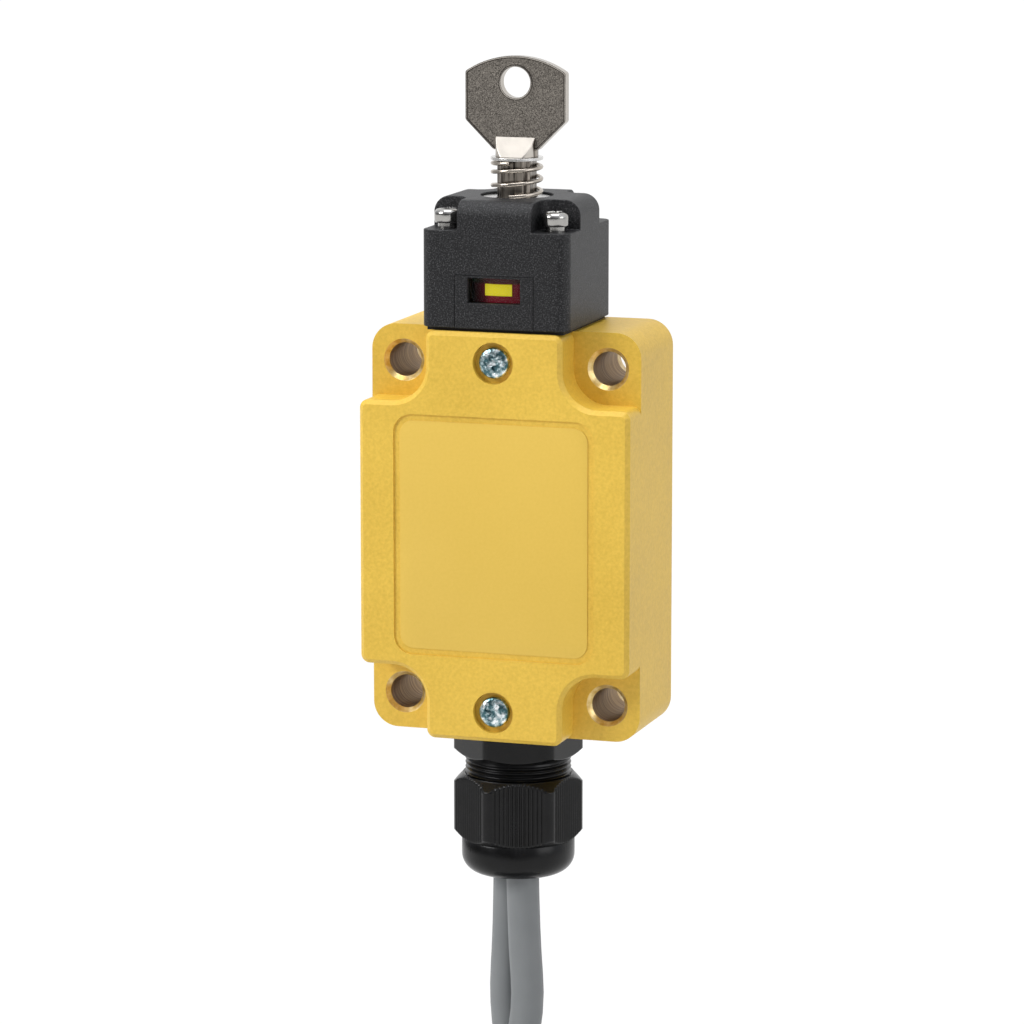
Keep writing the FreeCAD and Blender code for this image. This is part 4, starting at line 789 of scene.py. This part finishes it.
def wound_wire(radius, wire, foot, head, rise, around=14, per_turn=48):
    """A round wire on a helix about the key's axis, in mm, that starts at the front.

    Path: (r cos a, r sin a, z(a)), where rise pairs each turn with its share of the height.
    Ring at each point: w/2 (cos t * outward + sin t * (tangent x outward)).
    """
    turns, shares = zip(*rise)
    turn = np.linspace(0, turns[-1], round(turns[-1] * per_turn) + 1)
    angle = 2 * math.pi * (turn - 0.25)
    outward = np.stack([np.cos(angle), np.sin(angle), np.zeros_like(angle)], axis=1)
    path = radius * outward
    path[:, 1] += KEY_AXIS_Y
    path[:, 2] = foot + wire / 2 + (head - foot - wire) * np.interp(turn, turns, shares)
    tangent = np.gradient(path, axis=0)
    tangent /= np.linalg.norm(tangent, axis=1, keepdims=True)
    upright = np.cross(tangent, outward)
    t = np.arange(around)[None, :, None] * 2 * math.pi / around
    ring = np.cos(t) * outward[:, None] + np.sin(t) * upright[:, None]
    points = (path[:, None] + wire / 2 * ring).reshape(-1, 3)
    faces = grid_faces(len(path), around, wrap_columns=True)
    faces += [list(range(around))[::-1], list(range(len(points) - around, len(points)))]
    return points, faces


SPRING_WIRE = plated("spring_wire", (0.50, 0.45, 0.39), 0.2)
for name, (body, joint) in SPRING_MOVES.items():
    sizes = SPRINGS[name]
    points, faces = wound_wire(**sizes)
    spring = make_object(f"{name}_wire", points * MM, faces, SPRING_WIRE)
    turn_outward(spring.data, 50)
    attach(spring, body)
    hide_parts(name)
    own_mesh(spring)


# Gland: a black nylon hexagon body with an external thread, a flat washer, and a domed nut with
# finely ribbed faces. The nut draws a slotted cage in on a rubber insert that seals the two leads.
GLAND_CENTRE = (0.0, -14.5)
GLAND_TURN = 18.0
HEX_APOTHEM, HEX_CORNER, HEX_ROUNDING = 12.0, 13.5, 0.1
RIB_PITCH, RIB_DEPTH, RIB_SPAN, RIB_FADE = 0.93, 0.3, 5.6, 0.25
# Heights, from the spigot in the casting down to the dome's face.
SPIGOT_TOP, BORE_STEP = -35.3, -50.0
GLAND_TOP, FLANGE_FOOT, NUT_TOP, NUT_FOOT, DOME_FOOT = -43.3, -48.8, -52.3, -66.2, -73.5
THREAD_TOP, THREAD_STEP = FLANGE_FOOT - 0.25, 0.06
# Radii.
SPIGOT, SPIGOT_BORE, BODY_BORE = 9.9, 8.3, 9.35
THREAD_RADIUS, THREAD_PITCH, THREAD_DEPTH, THREAD_FLANK = 11.1, 1.0, 0.55, 0.7
NUT_THREAD, NUT_NECK, DOME, DOME_ROUND, DOME_MOUTH = 11.15, 11.7, 11.85, 4.0, 8.4
FLANGE_NECK = 11.0
# Heights over which the hexagons' corners slope down to the turned radius.
CORNER_SLOPE, TOP_SLOPE = 1.6, 2.0


def hex_radius(angle, ribbed):
    """Distance from the axis to a hexagon's side: a / cos(f), where f is the angle off its middle.

    Across a ribbed side u mm from its middle it is less by a depth times (1 - cos(2 pi u / p)) / 2.
    """
    face_angle = np.mod(angle - math.radians(GLAND_TURN), math.pi / 3) - math.pi / 6
    radius = HEX_APOTHEM / np.cos(face_angle)
    if ribbed:
        across = radius * np.sin(face_angle)
        inside = np.clip((RIB_SPAN - np.abs(across)) / RIB_FADE, 0, 1)
        wave = 0.5 - 0.5 * np.cos(2 * math.pi * across / RIB_PITCH)
        radius = radius - RIB_DEPTH * inside * wave
    return radius


def turned_fitting(name, profile, node, material, ribbed=False, around=900):
    """A closed profile of (radius, height, hexagonal) rows turned about the gland's axis.

    Where a row is hexagonal its radius is the soft minimum -k ln(exp(-a/k) + exp(-b/k)) of the
    turned radius and the hexagon's.
    """
    angle = np.arange(around) * 2 * math.pi / around
    flats = hex_radius(angle, ribbed)
    rows = []
    for radius, height, hexed in profile:
        ring = np.full(around, float(radius))
        if hexed:
            least = np.minimum(radius, flats)
            ring = least - HEX_ROUNDING * np.log(np.exp((least - radius) / HEX_ROUNDING)
                                                 + np.exp((least - flats) / HEX_ROUNDING))
        rows.append(np.stack([GLAND_CENTRE[0] + ring * np.cos(angle),
                              GLAND_CENTRE[1] + ring * np.sin(angle),
                              np.full(around, float(height))], axis=1))
    faces = grid_faces(len(rows), around, wrap_rows=True, wrap_columns=True)
    piece = make_object(name, np.concatenate(rows) * MM, faces, material)
    turn_outward(piece.data, 50)
    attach(piece, "housing")
    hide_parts(node)


def straight(start, end, steps=2, hexed=False):
    """Rows spaced evenly between two (radius, height) points."""
    share = np.linspace(0, 1, steps)[:, None]
    line = np.array(start) + share * (np.array(end) - np.array(start))
    return [(radius, height, hexed) for radius, height in line]


def dome_rows(radius, foot, round_over, mouth, steps=12):
    """A quarter round from the dome's side to its face, ended at the mouth."""
    bend = np.linspace(0, math.pi / 2, steps)
    r = radius - round_over * (1 - np.cos(bend))
    z = foot + round_over * (1 - np.sin(bend))
    return [(a, b, False) for a, b in zip(r, z) if a > mouth + 0.1]


def gland_moulding(name, dark, pale, roughness):
    """Smooth black nylon with a faint drift of gloss; it mirrors little of the bright room."""
    material, tree, out = new_material(name)
    place = object_coordinates(tree)
    cloud = noise(tree, place, 240, 4)
    fine = noise(tree, place, 2600, 2)
    surface(tree, out, Base_Color=ramp(tree, cloud, [(0.35, dark), (0.7, pale)]),
            Roughness=level(tree, cloud, roughness - 0.05, roughness + 0.1),
            Specular_IOR_Level=0.24, Normal=bump(tree, fine, 0.00003, 0.6))
    return material


GLAND = gland_moulding("gland_nylon", (0.003, 0.003, 0.003), (0.0065, 0.0065, 0.007), 0.22)
thread_z = np.arange(THREAD_TOP, NUT_TOP - 0.3, -THREAD_STEP)
groove = 0.5 - 0.5 * np.cos(2 * math.pi * (THREAD_TOP - thread_z) / THREAD_PITCH)
thread_r = THREAD_RADIUS - THREAD_DEPTH * groove ** THREAD_FLANK
body_profile = (
    straight((SPIGOT_BORE, SPIGOT_TOP), (SPIGOT, SPIGOT_TOP))
    + straight((SPIGOT, GLAND_TOP), (HEX_CORNER, GLAND_TOP), 4, True)
    + straight((HEX_CORNER, GLAND_TOP), (HEX_CORNER, FLANGE_FOOT + CORNER_SLOPE), 6, True)
    + straight((HEX_CORNER, FLANGE_FOOT + CORNER_SLOPE), (FLANGE_NECK, FLANGE_FOOT + 0.1), 14, True)
    + [(r, z, False) for r, z in zip(thread_r, thread_z)]
    + straight((THREAD_RADIUS, NUT_TOP - 0.5), (THREAD_RADIUS, NUT_FOOT + 2))
    + straight((BODY_BORE, NUT_FOOT + 2), (BODY_BORE, BORE_STEP))
    + straight((SPIGOT_BORE, BORE_STEP), (SPIGOT_BORE, SPIGOT_TOP - 0.7)))
turned_fitting("gland_hex", body_profile, "gland_body", GLAND)
nut_profile = (
    straight((NUT_THREAD, NUT_TOP), (NUT_NECK - 0.1, NUT_TOP))
    + straight((NUT_NECK, NUT_TOP - 0.15), (HEX_CORNER, NUT_TOP - TOP_SLOPE), 16, True)
    + straight((HEX_CORNER, NUT_TOP - TOP_SLOPE - 0.1),
               (HEX_CORNER, NUT_FOOT + CORNER_SLOPE + 0.1), 14, True)
    + straight((HEX_CORNER, NUT_FOOT + CORNER_SLOPE), (DOME - 0.1, NUT_FOOT + 0.05), 16, True)
    + [(DOME, NUT_FOOT - 0.1, False)]
    + dome_rows(DOME, DOME_FOOT, DOME_ROUND, DOME_MOUTH)
    + straight((DOME_MOUTH + 0.05, DOME_FOOT + 0.12), (DOME_MOUTH, DOME_FOOT + 0.3))
    + straight((DOME_MOUTH, DOME_FOOT + 1.5), (BODY_BORE, NUT_FOOT))
    + straight((BODY_BORE, NUT_FOOT + CORNER_SLOPE), (NUT_THREAD, NUT_FOOT + CORNER_SLOPE)))
turned_fitting("dome_nut", nut_profile, "gland_nut", GLAND, ribbed=True)
RUBBER = gland_moulding("seal_rubber", (0.012, 0.012, 0.012), (0.02, 0.02, 0.02), 0.6)
for name, node, edge in (("lead_insert", "gland_insert", 0.2), ("gland_ring", "gland_washer", 0.1)):
    seal = cad_copy(name, node, RUBBER, edge=edge)


# Ties: a black nylon strap round each coil, drawn tight and cut off. They hold the coils that
# the leads' unseen length is wound into.
ties = cad_copy("coil_straps", "coil_ties", GLAND, edge=0.25)


# Inside: what the closed body hides. The plunger under the rotor pushes a nylon carrier with two
# brass bridges past four fixed contacts; each of them ends in a clamp with a captive screw.
def dress(material, *nodes):
    """Give CAD nodes that stay as they are a finish."""
    for node in nodes:
        for slot in NODES[node].material_slots:
            slot.material = material


BRASS = plated("contact_brass", (0.62, 0.44, 0.17), 0.28)
STEEL = plated("inner_steel", (0.60, 0.60, 0.59), 0.34)
dress(plain_plastic("block_grey", (0.075, 0.076, 0.08), 0.5), "contact_block")
dress(plain_plastic("white_nylon", (0.62, 0.61, 0.57), 0.42), "contact_carrier", "plunger")
dress(BRASS, "opened_bridge", "closed_bridge", "left_opened_contact", "right_opened_contact",
      "left_closed_contact", "right_closed_contact")
dress(STEEL, "terminal_clamps", "terminal_screws", "block_screws", "earth_screw",
      "head_base_plate")
dress(RUBBER, "cover_gasket", "head_gasket", "plunger_seal")
dress(GLAND, "gland_cage")
dress(SHEATH, "front_lead_inside", "rear_lead_inside")
